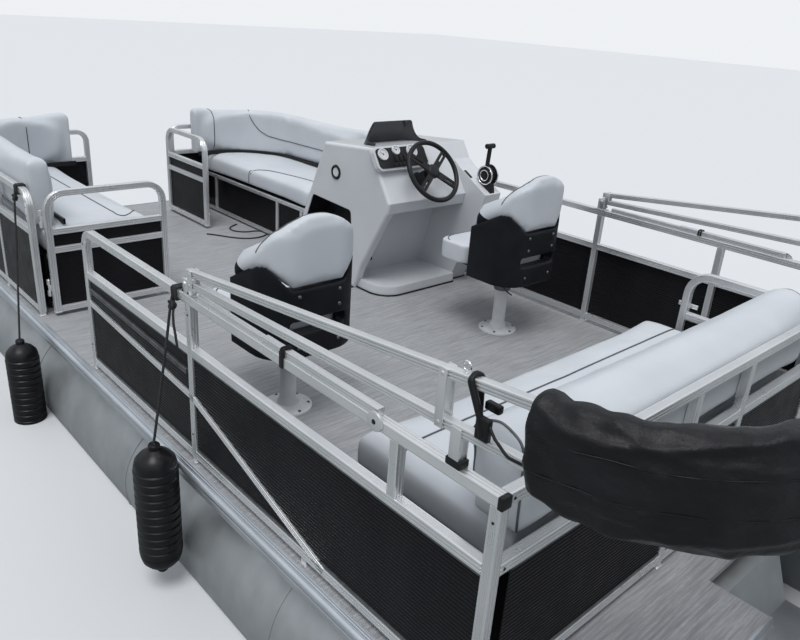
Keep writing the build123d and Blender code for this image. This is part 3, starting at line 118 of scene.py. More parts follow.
def make_cloud():
    """Slow patches of a value between Low and High."""
    tree, given, result = new_group("cloud", {"Scale": 3.0, "Low": 0.0, "High": 1.0}, "Value")
    patches = add(tree, "TexNoise", {"Vector": given["Vector"], "Scale": given["Scale"], "Detail": 4.0})
    value = spread(tree, patches.outputs["Fac"], 0.32, 0.68, given["Low"], given["High"])
    tree.links.new(value, result)
    return tree


def make_streak():
    """Noise drawn out along one direction: brushing, weathering and woven streaks."""
    values = {"Stretch": (1.0, 1.0, 1.0), "Scale": 20.0, "Low": 0.0, "High": 1.0}
    tree, given, result = new_group("streak", values, "Value")
    drawn = add(tree, "Mapping", {"Vector": given["Vector"], "Scale": given["Stretch"]}).outputs["Vector"]
    lines = add(tree, "TexNoise", {"Vector": drawn, "Scale": given["Scale"], "Detail": 5.0})
    value = spread(tree, lines.outputs["Fac"], 0.3, 0.7, given["Low"], given["High"])
    tree.links.new(value, result)
    return tree


def make_leather():
    """Pebbled grain of marine vinyl, with slow creases."""
    tree, given, result = new_group("vinyl_grain", {"Scale": 420.0, "Crease": 0.3}, "Height")
    cells = add(tree, "TexVoronoi", {"Vector": given["Vector"], "Scale": given["Scale"]})
    slow = {"Scale": 9.0, "Detail": 3.0, "Distortion": 0.6}
    creases = add(tree, "TexNoise", {"Vector": given["Vector"], **slow})
    part = calculate(tree, "MULTIPLY", creases.outputs["Fac"], given["Crease"])
    tree.links.new(calculate(tree, "ADD", cells.outputs["Distance"], part), result)
    return tree


def make_weave():
    """Crossed threads of a woven cloth."""
    tree, given, result = new_group("weave", {"Threads": 300.0}, "Height")
    threads = {"Vector": given["Vector"], "Scale": given["Threads"]}
    warp, weft = [
        add(tree, "TexWave", threads, wave_type="BANDS", bands_direction=direction).outputs["Fac"]
        for direction in ("X", "Y")
    ]
    tree.links.new(calculate(tree, "MULTIPLY", warp, weft), result)
    return tree


def make_dust():
    """Dirt that lies on faces that look up, in patches."""
    tree, given, result = new_group("dust", {"Scale": 6.0, "Amount": 0.4}, "Mask")
    facing = spread(tree, upward(tree), 0.1, 0.9)
    patches = add(tree, "TexNoise", {"Vector": given["Vector"], "Scale": given["Scale"], "Detail": 6.0})
    both = calculate(tree, "MULTIPLY", facing, spread(tree, patches.outputs["Fac"], 0.35, 0.75))
    tree.links.new(calculate(tree, "MULTIPLY", both, given["Amount"]), result)
    return tree


GROUPS = {
    "cloud": make_cloud(), "streak": make_streak(), "leather": make_leather(), "weave": make_weave(),
    "dust": make_dust(),
}


class Finish:
    """A material in the making: its tree, its Principled shader and the piece's own coordinates."""

    def __init__(self, name, **sockets):
        self.material = bpy.data.materials.new(name)
        self.material.use_nodes = True
        self.tree = self.material.node_tree
        self.shader = self.tree.nodes["Principled BSDF"]
        for key, value in sockets.items():
            self.shader.inputs[key.replace("_", " ")].default_value = value
        self.place = add(self.tree, "TexCoord").outputs["Object"]

    def use(self, group, **values):
        """A shared group placed in the material with its own values."""
        node = self.tree.nodes.new("ShaderNodeGroup")
        node.node_tree = GROUPS[group]
        fill_inputs(self.tree, node, {"Vector": self.place, **values})
        return node.outputs[0]

    def cloud(self, scale, low=0.0, high=1.0):
        """Slow patches between two values."""
        return self.use("cloud", Scale=scale, Low=low, High=high)

    def streak(self, stretch, scale, high=1.0):
        """Streaks drawn out along the small numbers of the stretch."""
        return self.use("streak", Stretch=stretch, Scale=scale, Low=0.0, High=high)

    def mix(self, mask, first, second):
        """A colour between two others."""
        return blend_colour(self.tree, mask, first, second)

    def colour(self, value):
        """The surface takes this colour."""
        self.tree.links.new(value, self.shader.inputs["Base Color"])

    def dusty(self, value, scale, amount, dirt):
        """The surface takes this colour, with dirt on what looks up."""
        self.colour(self.mix(self.use("dust", Scale=scale, Amount=amount), value, dirt))

    def rough(self, scale, low, high):
        """Roughness in patches between two values."""
        self.tree.links.new(self.cloud(scale, low, high), self.shader.inputs["Roughness"])

    def soft_edge(self, radius):
        """Normal that rounds sharp edges a little, so that they catch the light."""
        return add(self.tree, "Bevel", {"Radius": radius}, samples=4).outputs["Normal"]

    def bump(self, height, distance, strength, under=None):
        """Bump from a height, on top of an earlier normal if there is one."""
        node = add(self.tree, "Bump", {"Height": height, "Distance": distance, "Strength": strength})
        if under is not None:
            self.tree.links.new(under, node.inputs["Normal"])
        self.tree.links.new(node.outputs["Normal"], self.shader.inputs["Normal"])
        return node.outputs["Normal"]


# Materials
def tube_metal():
    """Dull mill-finish aluminium of the tubes, with cloudy stains and drips."""
    look = Finish("tube_metal", Metallic=0.75)
    stains = look.cloud(14.0)
    base = look.mix(look.cloud(2.2), (0.36, 0.38, 0.40), (0.52, 0.54, 0.56))
    stained = look.mix(stains, base, (0.43, 0.45, 0.46))
    drips = look.streak((1.0, 1.0, 0.12), 16.0, high=0.35)
    look.colour(look.mix(drips, stained, (0.34, 0.36, 0.37)))
    look.rough(5.0, 0.38, 0.6)
    look.bump(stains, 0.0006, 0.5)
    return look.material


def rail_metal():
    """Bright extruded aluminium, brushed along its length and a little scuffed."""
    look = Finish("rail_metal", Metallic=0.85)
    metal = look.mix(look.cloud(5.0), (0.74, 0.75, 0.76), (0.82, 0.825, 0.83))
    look.dusty(metal, 14.0, 0.05, (0.52, 0.53, 0.53))
    look.rough(9.0, 0.26, 0.36)
    brushing = look.streak((0.06, 0.06, 1.0), 160.0)
    look.bump(brushing, 0.0002, 0.15, under=look.soft_edge(0.002))
    return look.material


def rub_metal():
    """Extruded aluminium of the deck's edge, duller than the rails."""
    look = Finish("rub_metal", Metallic=0.8)
    patches = look.cloud(4.0)
    look.colour(look.mix(patches, (0.50, 0.53, 0.57), (0.62, 0.65, 0.69)))
    look.rough(18.0, 0.30, 0.45)
    look.bump(patches, 0.0002, 0.2)
    return look.material


def dark_metal():
    """Grey metal strips at the sheets' edges."""
    look = Finish("dark_metal", Metallic=0.7)
    look.colour(look.mix(look.cloud(20.0), (0.10, 0.105, 0.11), (0.17, 0.175, 0.18)))
    look.rough(30.0, 0.35, 0.5)
    return look.material


def panel_paint():
    """Gloss black paint on fluted sheet, with pale runs of dirt."""
    look = Finish("panel_paint", Specular_IOR_Level=0.14)
    paint = look.mix(look.cloud(3.0), (0.004, 0.004, 0.005), (0.007, 0.007, 0.009))
    runs = look.streak((1.0, 1.0, 0.15), 9.0, high=0.12)
    look.colour(look.mix(runs, paint, (0.03, 0.03, 0.033)))
    look.rough(12.0, 0.3, 0.42)
    look.bump(look.cloud(260.0), 0.0001, 0.3)
    return look.material


def deck_floor():
    """Woven vinyl flooring with streaks across the boat, on plywood that shows from below."""
    look = Finish("deck_floor")
    long = look.streak((1.0, 0.045, 1.0), 150.0)
    short = look.streak((1.0, 0.16, 1.0), 260.0, high=0.6)
    light = look.mix(long, (0.215, 0.220, 0.230), (0.440, 0.450, 0.465))
    streaked = look.mix(short, light, (0.255, 0.255, 0.262))
    vinyl = look.mix(look.cloud(2.0, high=0.30), streaked, (0.300, 0.305, 0.315))
    grain = look.streak((0.1, 1.0, 6.0), 30.0)
    plywood = look.mix(grain, (0.30, 0.19, 0.10), (0.45, 0.31, 0.18))
    top = calculate(look.tree, "GREATER_THAN", upward(look.tree), -0.5)
    look.colour(look.mix(top, plywood, vinyl))
    look.rough(7.0, 0.55, 0.72)
    threads = look.bump(look.use("weave", Threads=330.0), 0.0005, 0.6)
    look.bump(long, 0.0006, 0.4, under=threads)
    return look.material


def upholstery_vinyl():
    """Light blue-grey marine vinyl with a pebbled grain."""
    look = Finish("upholstery_vinyl", Coat_Weight=0.06, Sheen_Weight=0.05, Specular_IOR_Level=0.35)
    vinyl = look.mix(look.cloud(3.5), (0.50, 0.53, 0.565), (0.56, 0.585, 0.615))
    look.dusty(vinyl, 5.0, 0.10, (0.42, 0.43, 0.44))
    look.rough(8.0, 0.42, 0.56)
    look.bump(look.use("leather", Scale=420.0, Crease=0.5), 0.0004, 0.35)
    return look.material


def shell_vinyl():
    """Black vinyl of the chairs' shells and of their wings' outer sides."""
    look = Finish("shell_vinyl", Specular_IOR_Level=0.15)
    look.colour(look.mix(look.cloud(6.0), (0.007, 0.008, 0.010), (0.013, 0.014, 0.017)))
    look.rough(18.0, 0.4, 0.58)
    look.bump(look.use("leather", Scale=380.0, Crease=0.6), 0.0005, 0.5)
    return look.material


def welt_vinyl():
    """Dark grey piping."""
    look = Finish("welt_vinyl", Roughness=0.5)
    look.colour(look.mix(look.cloud(40.0), (0.06, 0.065, 0.075), (0.10, 0.105, 0.115)))
    look.bump(look.use("leather", Scale=600.0, Crease=0.2), 0.0003, 0.4)
    return look.material


def gelcoat():
    """Light grey gelcoat of the console."""
    look = Finish("gelcoat", Coat_Weight=0.5, Coat_Roughness=0.12)
    grey = look.mix(look.cloud(2.5), (0.55, 0.57, 0.60), (0.62, 0.64, 0.66))
    look.dusty(grey, 16.0, 0.16, (0.44, 0.44, 0.43))
    look.rough(20.0, 0.3, 0.42)
    look.bump(look.cloud(90.0), 0.0002, 0.25, under=look.soft_edge(0.008))
    return look.material


def black_plastic():
    """Moulded black plastic with a fine texture."""
    look = Finish("black_plastic", Specular_IOR_Level=0.25)
    look.colour(look.mix(look.cloud(15.0), (0.008, 0.008, 0.009), (0.015, 0.015, 0.017)))
    look.rough(40.0, 0.34, 0.5)
    look.bump(look.cloud(700.0), 0.0002, 0.5, under=look.soft_edge(0.0015))
    return look.material


def red_plastic():
    """Red float of the key."""
    look = Finish("red_plastic", Roughness=0.45)
    look.colour(look.mix(look.cloud(30.0), (0.60, 0.03, 0.02), (0.75, 0.05, 0.035)))
    return look.material


def chrome():
    """Bright plated metal."""
    look = Finish("chrome", Metallic=1.0)
    look.colour(look.mix(look.cloud(30.0), (0.78, 0.79, 0.80), (0.86, 0.86, 0.87)))
    look.rough(60.0, 0.06, 0.16)
    return look.material


def white_enamel():
    """White paint on the pedestals, bezels and small feet."""
    look = Finish("white_enamel", Coat_Weight=0.3, Coat_Roughness=0.15)
    patches = look.cloud(12.0)
    paint = look.mix(patches, (0.60, 0.62, 0.64), (0.70, 0.71, 0.72))
    look.dusty(paint, 30.0, 0.3, (0.36, 0.35, 0.33))
    look.rough(35.0, 0.3, 0.46)
    look.bump(patches, 0.0003, 0.3, under=look.soft_edge(0.002))
    return look.material


def smoked_acrylic():
    """Dark see-through windscreen."""
    look = Finish("smoked_acrylic", Roughness=0.08, Transmission_Weight=0.75, IOR=1.45)
    look.colour(look.mix(look.cloud(8.0), (0.035, 0.036, 0.040), (0.06, 0.062, 0.066)))
    return look.material


def boot_cloth():
    """Black coated cloth of the folded top's boot."""
    look = Finish("boot_cloth", Specular_IOR_Level=0.22)
    cloth = look.mix(look.cloud(5.0), (0.006, 0.006, 0.007), (0.012, 0.012, 0.014))
    look.dusty(cloth, 9.0, 0.2, (0.03, 0.03, 0.033))
    look.rough(14.0, 0.27, 0.40)
    threads = look.bump(look.use("weave", Threads=420.0), 0.0003, 0.4)
    look.bump(look.cloud(26.0), 0.004, 0.5, under=threads)
    return look.material


def fender_rubber():
    """Black vinyl of the fenders, scuffed."""
    look = Finish("fender_rubber", Specular_IOR_Level=0.25)
    patches = look.cloud(12.0)
    black = look.mix(patches, (0.005, 0.005, 0.006), (0.010, 0.010, 0.012))
    scuffs = look.streak((1.0, 1.0, 0.2), 30.0, high=0.2)
    look.colour(look.mix(scuffs, black, (0.035, 0.035, 0.038)))
    look.rough(22.0, 0.26, 0.45)
    look.bump(patches, 0.0006, 0.35)
    return look.material


def line_cloth():
    """Black braided rope."""
    look = Finish("line_cloth", Roughness=0.8)
    look.colour(look.mix(look.cloud(80.0), (0.012, 0.012, 0.013), (0.035, 0.035, 0.037)))
    look.bump(look.use("weave", Threads=520.0), 0.0006, 0.7)
    return look.material


def motor_paint():
    """Satin black paint on castings."""
    look = Finish("motor_paint", Metallic=0.2, Coat_Weight=0.3)
    paint = look.mix(look.cloud(9.0), (0.018, 0.019, 0.021), (0.035, 0.036, 0.039))
    look.dusty(paint, 20.0, 0.25, (0.10, 0.10, 0.10))
    look.rough(30.0, 0.28, 0.42)
    look.bump(look.cloud(300.0), 0.0002, 0.3, under=look.soft_edge(0.003))
    return look.material


def cast_metal():
    """Bare casting."""
    look = Finish("cast_metal", Metallic=0.8)
    patches = look.cloud(25.0)
    look.colour(look.mix(patches, (0.16, 0.16, 0.17), (0.26, 0.26, 0.27)))
    look.rough(80.0, 0.5, 0.7)
    look.bump(patches, 0.0008, 0.6)
    return look.material


MATERIALS = {make.__name__: make() for make in (
    tube_metal, rail_metal, rub_metal, dark_metal, panel_paint, deck_floor, upholstery_vinyl, shell_vinyl,
    welt_vinyl, gelcoat, black_plastic, red_plastic, chrome, white_enamel, smoked_acrylic, boot_cloth,
    fender_rubber, line_cloth, motor_paint, cast_metal,
)}

NODE_FINISH = {
    "tube_metal": ("pontoon_port", "pontoon_starboard", "crossmembers", "motor_pod"),
    "rail_metal": (
        "deck_edge", "fence_frame_port", "fence_frame_starboard", "fence_frame_stern", "side_gate_frame",
        "bow_gate_frame", "stern_gate_frame", "bimini_frame", "bimini_mounts",
    ),
    "panel_paint": (
        "fence_panels_port", "fence_panels_starboard", "fence_panels_stern", "side_gate_panel",
        "bow_gate_panel", "stern_gate_panel", "lounge_port_base", "lounge_starboard_base", "bench_base",
    ),
    "deck_floor": ("deck",),
    "upholstery_vinyl": (
        "lounge_port_seat", "lounge_port_back", "lounge_starboard_seat", "lounge_starboard_back",
        "bench_seat", "bench_back", "helm_chair_upholstery", "companion_chair_upholstery",
    ),
    "shell_vinyl": ("helm_chair_shell", "companion_chair_shell"),
    "gelcoat": ("console",),
    "black_plastic": ("dash_panel", "throttle_control", "steering_wheel"),
    "smoked_acrylic": ("windscreen",),
    "white_enamel": ("helm_chair_pedestal", "companion_chair_pedestal"),
    "boot_cloth": ("bimini_boot",),
    "fender_rubber": ("fender_aft", "fender_fore"),
    "line_cloth": ("fender_line_aft", "fender_line_fore", "deck_line"),
    "motor_paint": ("motor_clamp_bracket", "motor_swivel_bracket", "motor_leg", "propeller", "motor_cowl"),
    "cast_metal": ("engine_block",),
}
for finish, names in NODE_FINISH.items():
    for name in names:
        nodes[name].data.materials.clear()
        nodes[name].data.materials.append(MATERIALS[finish])


# Camera, floor and light
def make_camera():
    """Camera where the photograph was taken, off the port quarter and looking forward to starboard."""
    yaw, pitch, roll = math.radians(-43.60), math.radians(-22.70), math.radians(-4.12)
    photo_width, focal_pixels = 800, 737.87
    data = bpy.data.cameras.new("camera")
    data.sensor_width = 36.0
    data.lens = data.sensor_width * focal_pixels / photo_width
    data.clip_end = 100.0
    camera = bpy.data.objects.new("camera", data)
    bpy.context.scene.collection.objects.link(camera)
    camera.location = (at(-0.793), 2.3353, DECK + 1.6106)
    ahead = Vector((math.cos(pitch) * math.cos(yaw), math.cos(pitch) * math.sin(yaw), math.sin(pitch)))
    camera.rotation_mode = "QUATERNION"
    camera.rotation_quaternion = ahead.to_track_quat("-Z", "Y") @ Quaternion((0, 0, 1), -roll)
    bpy.context.scene.camera = camera


def make_floor():
    """Plain pale floor at the waterline."""
    bpy.ops.mesh.primitive_plane_add(size=120, location=(0, 0, WATERLINE))
    floor = bpy.context.object
    floor.name = "floor"
    material = bpy.data.materials.new("floor")
    material.use_nodes = True
    tree = material.node_tree
    shader = tree.nodes["Principled BSDF"]
    seen = add(tree, "LightPath").outputs["Is Camera Ray"]
    colour = blend_colour(tree, seen, (0.26, 0.28, 0.28), (0.62, 0.63, 0.64))
    fill_inputs(tree, shader, {"Base Color": colour, "Roughness": 0.9})
    floor.data.materials.append(material)


def make_light():
    """Even pale sky with one broad soft lamp high above the port quarter."""
    world = bpy.data.worlds.new("sky")
    world.use_nodes = True
    tree = world.node_tree
    back = tree.nodes["Background"]
    place = add(tree, "TexCoord").outputs["Generated"]
    height = add(tree, "SeparateXYZ", {"Vector": place}).outputs["Z"]
    rise = add(tree, "MapRange", {"Value": height, "From Min": 0.02, "From Max": 0.30},
               interpolation_type="SMOOTHSTEP").outputs["Result"]
    banks, sky = (0.22, 0.25, 0.22), (0.93, 0.97, 1.03)
    fill_inputs(tree, back, {"Color": blend_colour(tree, rise, banks, sky), "Strength": 0.80})
    seen = add(tree, "Background", {"Color": (0.86, 0.88, 0.90, 1), "Strength": 1.0})
    path = add(tree, "LightPath").outputs
    shown = calculate(tree, "MAXIMUM", path["Is Camera Ray"], path["Is Transmission Ray"])
    mix = add(tree, "MixShader", {0: shown, 1: back.outputs["Background"], 2: seen.outputs["Background"]})
    tree.links.new(mix.outputs["Shader"], tree.nodes["World Output"].inputs["Surface"])
    bpy.context.scene.world = world
    data = bpy.data.lights.new("sun", "SUN")
    data.energy = 1.7
    data.angle = math.radians(28)
    sun = bpy.data.objects.new("sun", data)
    bpy.context.scene.collection.objects.link(sun)
    sun.rotation_mode = "QUATERNION"
    sun.rotation_quaternion = Vector((0.25, -0.35, -1.0)).to_track_quat("-Z", "Y")


make_camera()
make_floor()
make_light()
bpy.context.scene.view_settings.view_transform = "Standard"


# Sizes that the model's source gives, in metres
TUBE = 0.032
HALF = TUBE / 2
TOP_RAIL, MID_RAIL, LOW_RAIL, FOOT = 0.652, 0.457, 0.036, 0.020
TOP_Z, MID_Z, LOW_Z, FOOT_Z = DECK + TOP_RAIL, DECK + MID_RAIL, DECK + LOW_RAIL, DECK + FOOT
RAIL_TOP = DECK + 0.668
BOW_X = at(4.760)
BOW_POST_Y = 0.330
BOW_CORNER = 0.600
BEND = 0.070
FRONT_POST, MIDDLE_POST, SHORT_POST, HINGE_POST = 2.350, 1.400, 0.330, 3.096
STERN_POST_Y = -0.630
STERN_POSTS = (1.192, 0.354, 0.0, STERN_POST_Y)
BOW_POSTS = (3.640, 4.080)
STARBOARD_POSTS = (0.0, 0.700, MIDDLE_POST, 2.260, 3.000, 3.560, 4.080)
GATES = {
    # hinge axis in plan, direction along the open gate, direction of its outer face, length
    "side_gate": ((at(3.074), 1.200), (0, -1), (-1, 0), 0.646),
    "bow_gate": ((at(4.736), -0.308), (-1, 0), (0, 1), 0.610),
    "stern_gate": ((at(0.024), -0.652), (1, 0), (0, -1), 0.544),
}
HINGE_LEVELS = (DECK + 0.150, DECK + 0.520)
LINE = 0.010


# Helpers for the pieces
def spot(forward, y, high):
    """A place given by its station, its distance from the centreline and its height above the deck."""
    return Vector((at(forward), y, DECK + high))


def select_only(*chosen):
    """Only these are selected, and the last one is active."""
    bpy.ops.object.select_all(action="DESELECT")
    for piece in chosen:
        piece.select_set(True)
    bpy.context.view_layer.objects.active = chosen[-1]


def apply_place(piece):
    """Put a piece's place, turn and scale into its mesh."""
    select_only(piece)
    bpy.ops.object.transform_apply(location=True, rotation=True, scale=True)
    return piece


def link(name, data):
    """An object of a mesh or curve, in the scene."""
    piece = bpy.data.objects.new(name, data)
    bpy.context.scene.collection.objects.link(piece)
    return piece


def new_mesh(name, verts, faces):
    """An object with a mesh of these corners and faces."""
    mesh = bpy.data.meshes.new(name)
    mesh.from_pydata(verts, [], faces)
    return link(name, mesh)


def new_curve(name, points, closed=False, flat=False):
    """A curve object of straight runs."""
    data = bpy.data.curves.new(name, "CURVE")
    data.dimensions = "2D" if flat else "3D"
    data.fill_mode = "NONE" if flat else "FULL"
    spline = data.splines.new("POLY")
    spline.points.add(len(points) - 1)
    for place, point in zip(spline.points, points):
        place.co = (point[0], point[1], point[2] if len(point) > 2 else 0.0, 1.0)
    spline.use_cyclic_u = closed
    return link(name, data)


def outward(piece, merge=0.00002):
    """Merge doubles and point the faces outwards."""
    select_only(piece)
    bpy.ops.object.mode_set(mode="EDIT")
    bpy.ops.mesh.select_all(action="SELECT")
    bpy.ops.mesh.remove_doubles(threshold=merge)
    bpy.ops.mesh.normals_make_consistent(inside=False)
    bpy.ops.object.mode_set(mode="OBJECT")
    return piece


def to_mesh(piece):
    """Turn a curve into a mesh whose faces point outwards."""
    select_only(piece)
    bpy.ops.object.convert(target="MESH")
    return outward(bpy.context.object)


def sweep(section, points, closed=False):
    """A bar with a drawn section along a line."""
    piece = new_curve("bar", points, closed)
    piece.data.bevel_mode = "OBJECT"
    piece.data.bevel_object = section
    piece.data.use_fill_caps = not closed
    return to_mesh(piece)


def rod(points, radius, steps=4, closed=False):
    """A round rod along a line."""
    piece = new_curve("rod", points, closed)
    piece.data.bevel_depth = radius
    piece.data.bevel_resolution = steps
    piece.data.use_fill_caps = not closed
    return to_mesh(piece)


def hoop(centre, radius, thickness, steps, facets):
    """A round ring that stands along the boat."""
    x, y, z = centre
    angles = [step * math.tau / steps for step in range(steps)]
    ring = [(x + radius * math.cos(angle), y, z + radius * math.sin(angle)) for angle in angles]
    return rod(ring, thickness, facets, closed=True)


def bent(points, radii, steps=7):
    """Points of a bent bar: straight runs joined by arcs."""
    points = [Vector(point) for point in points]
    if not isinstance(radii, (tuple, list)):
        radii = [radii] * (len(points) - 2)
    line = [points[0]]
    for before, corner, after, radius in zip(points, points[1:], points[2:], radii):
        first, second = (before - corner).normalized(), (after - corner).normalized()
        half = first.angle(second) / 2
        centre = corner + (first + second).normalized() * radius / math.sin(half)
        arm = corner + first * radius / math.tan(half) - centre
        end = corner + second * radius / math.tan(half) - centre
        axis = arm.cross(end).normalized()
        turn = arm.angle(end)
        for step in range(steps + 1):
            line.append(centre + Matrix.Rotation(turn * step / steps, 3, axis) @ arm)
    line.append(points[-1])
    return line


def divided(points, spacing):
    """A line's points with more between them, about this far apart."""
    fine = [points[0]]
    for before, after in zip(points, points[1:]):
        count = max(1, round((after - before).length / spacing))
        fine += [before.lerp(after, (step + 1) / count) for step in range(count)]
    return fine


def bar(first, second, edge=0.002, segments=2):
    """A block between two opposite corners, its edges rounded."""
    low = Vector([min(pair) for pair in zip(first, second)])
    high = Vector([max(pair) for pair in zip(first, second)])
    bpy.ops.object.select_all(action="DESELECT")
    bpy.ops.mesh.primitive_cube_add(size=1, location=(low + high) / 2, scale=high - low)
    piece = apply_place(bpy.context.object)
    bpy.ops.object.mode_set(mode="EDIT")
    bpy.ops.mesh.select_all(action="SELECT")
    bpy.ops.mesh.bevel(offset=edge, segments=segments, affect="EDGES")
    bpy.ops.object.mode_set(mode="OBJECT")
    return piece


def block(x, y, half_x, half_y, low, high, edge=0.002):
    """A block round a place in plan, between two heights."""
    return bar((x - half_x, y - half_y, low), (x + half_x, y + half_y, high), edge)


def turned(profile, centre, axis=(0, 0, 1), steps=32):
    """A piece turned on a lathe: its half profile gives radius and height along the axis."""
    piece = new_curve("turned", [(radius, 0.0, height) for radius, height in profile])
    select_only(piece)
    bpy.ops.object.convert(target="MESH")
    piece = bpy.context.object
    bpy.ops.object.mode_set(mode="EDIT")
    bpy.ops.mesh.select_all(action="SELECT")
    bpy.ops.mesh.spin(steps=steps, angle=math.tau, center=(0, 0, 0), axis=(0, 0, 1))
    bpy.ops.object.mode_set(mode="OBJECT")
    turn = Vector(axis).to_track_quat("Z", "Y").to_matrix().to_4x4()
    piece.matrix_world = Matrix.Translation(centre) @ turn
    return outward(apply_place(piece), 0.0001)


def apply_modifier(piece, kind, **settings):
    """Add a modifier and apply it."""
    modifier = piece.modifiers.new(kind.lower(), kind)
    for key, value in settings.items():
        setattr(modifier, key, value)
    select_only(piece)
    bpy.ops.object.modifier_apply(modifier=modifier.name)
    return piece


def done(name, parts, finish, body, angle=35.0, replaces=()):
    """Join parts into one named piece with its finish, and let it ride on its body."""
    parts = list(parts) if isinstance(parts, (list, tuple)) else [parts]
    select_only(*reversed(parts))
    if len(parts) > 1:
        bpy.ops.object.join()
    piece = bpy.context.view_layer.objects.active
    bpy.ops.object.transform_apply(location=True, rotation=True, scale=True)
    bpy.ops.object.shade_smooth_by_angle(angle=math.radians(angle))
    piece.name = name
    piece.data.name = name
    piece.data.materials.clear()
    piece.data.materials.append(MATERIALS[finish])
    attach(piece, body)
    for node in replaces:
        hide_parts(node)
    return piece


def done_rails(name, parts, body="hull", replaces=()):
    """A finished piece of bright aluminium."""
    return done(name, parts, "rail_metal", body, 30, replaces)


def done_sheets(name, parts, body, node):
    """A finished piece of fluted black sheet."""
    return done(name, parts, "panel_paint", body, 50, (node,))


def surface(piece):
    """Search tree of a finished piece's surface."""
    mesh = piece.data
    return BVHTree.FromPolygons([v.co for v in mesh.vertices], [p.vertices for p in mesh.polygons])


def lay_on(tree, points, direction=None, lift=0.0012, spacing=0.012):
    """A line on a surface: fine points dropped along a direction, or to the nearest place."""
    line = []
    for point in divided([Vector(point) for point in points], spacing):
        if direction is None:
            hit, normal, _, _ = tree.find_nearest(point)
        else:
            hit, normal, _, _ = tree.ray_cast(point, direction)
        if hit is not None:
            line.append(hit + normal * lift)
    for _ in range(2):
        line = [line[0]] + [
            (before + here * 2 + after) / 4 for before, here, after in zip(line, line[1:], line[2:])
        ] + [line[-1]]
    return line


# Lines: the two fenders' and the one left lying on the deck
def rope(name, route, width=LINE):
    """A rope whose smooth line is guided by the route's points."""
    data = bpy.data.curves.new(name, "CURVE")
    data.dimensions = "3D"
    spline = data.splines.new("NURBS")
    spline.points.add(len(route) - 1)
    for place, point in zip(spline.points, route):
        place.co = (*point, 1.0)
    spline.order_u = 3
    spline.use_endpoint_u = True
    spline.resolution_u = 12
    data.bevel_depth = width / 2
    data.bevel_resolution = 4
    data.use_fill_caps = True
    data.materials.append(MATERIALS["line_cloth"])
    piece = link(name, data)
    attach(piece, "hull")
    return piece


def spline_length(piece):
    """Length of a curve's own line."""
    plain = link("plain", piece.data.copy())
    plain.data.bevel_depth = 0.0
    depsgraph = bpy.context.evaluated_depsgraph_get()
    mesh = bpy.data.meshes.new_from_object(plain.evaluated_get(depsgraph))
    ends = [[mesh.vertices[index].co for index in edge.vertices] for edge in mesh.edges]
    total = sum((first - second).length for first, second in ends)
    bpy.data.objects.remove(plain)
    bpy.data.meshes.remove(mesh)
    return total


FENDER_Y = 1.3795
FENDER_LENGTH = 0.584
FENDER_EYE = 0.011
FENDERS = {
    # station, top above the deck, station of the hitch
    "aft": (1.470, 0.090, 1.484),
    "fore": (3.070, -0.100, 3.210),
}


def make_fender(name, forward, top):
    """Ribbed fender with moulded eyes at both ends."""
    x, high = at(forward), DECK + top
    half, shoulder, ribs = FENDER_LENGTH / 2, 0.100, 11
    cap = [
        (0.0, half), (0.018, half - 0.001), (0.022, half - 0.006), (0.0215, half - 0.024),
        (0.036, half - 0.032), (0.058, half - 0.046), (0.074, half - 0.066), (0.080, half - 0.090),
    ]
    profile = list(cap)
    pitch = 2 * (half - shoulder) / ribs
    for index in range(ribs):
        start = half - shoulder - index * pitch
        profile += [
            (0.0775, start), (0.0822, start - pitch * 0.14), (0.0825, start - pitch * 0.5),
            (0.0822, start - pitch * 0.86), (0.0775, start - pitch),
        ]
    profile += [(radius, -height) for radius, height in reversed(cap)]
    parts = [turned(profile, (x, FENDER_Y, high - half), steps=48)]
    for end in (high - 0.012, high - FENDER_LENGTH + 0.012):
        parts.append(hoop((x, FENDER_Y, end), FENDER_EYE, 0.006, 16, 3))
    return done(f"fender_{name}_body", parts, "fender_rubber", "hull", 40,
                replaces=(f"fender_{name}",))


def make_hitch(name, x, tail):
    """Clove hitch round the top rail, its knot and the loose tail."""
    y, half = FENCE_Y, HALF + LINE / 2 + 0.001
    turns = []
    for shift, lean in ((-0.011, 0.004), (0.0, 0.004), (0.011, 0.003)):
        loop = []
        for corner_y, corner_z, slide in ((1, -1, 0.0), (1, 1, 0.3), (-1, 1, 0.6), (-1, -1, 0.9)):
            loop.append((x + shift + lean * slide, y + corner_y * half, TOP_Z + corner_z * half))
        start = ((loop[0][0] + loop[3][0]) / 2, y, loop[0][2])
        turns.append(rod(bent([start, *loop, start], 0.007, 4), LINE / 2, 3))
    centre = Vector((x, y + half + 0.004, TOP_Z - half - 0.012))
    knot = []
    for step in range(37):
        angle = step * math.tau / 18
        wave = math.sin(angle * 1.5)
        radius = 0.012 + 0.003 * wave
        knot.append(centre + Vector((
            radius * math.cos(angle), 0.008 * wave + 0.003, 0.014 * math.sin(angle) - 0.008,
        )))
    turns.append(rod(knot, LINE / 2, 3))
    if tail:
        start = centre + Vector((-0.010, 0.004, -0.016))
        fall = ((0, 0, 0), (-0.006, 0.006, -0.020), (-0.014, 0.010, -0.055), (-0.026, 0.010, -0.100),
                (-0.030, 0.008, -0.140))
        turns.append(rod([start + Vector(step) for step in fall], LINE / 2 * 0.96, 3))
    return done(f"fender_hitch_{name}", turns, "line_cloth", "hull", 60)


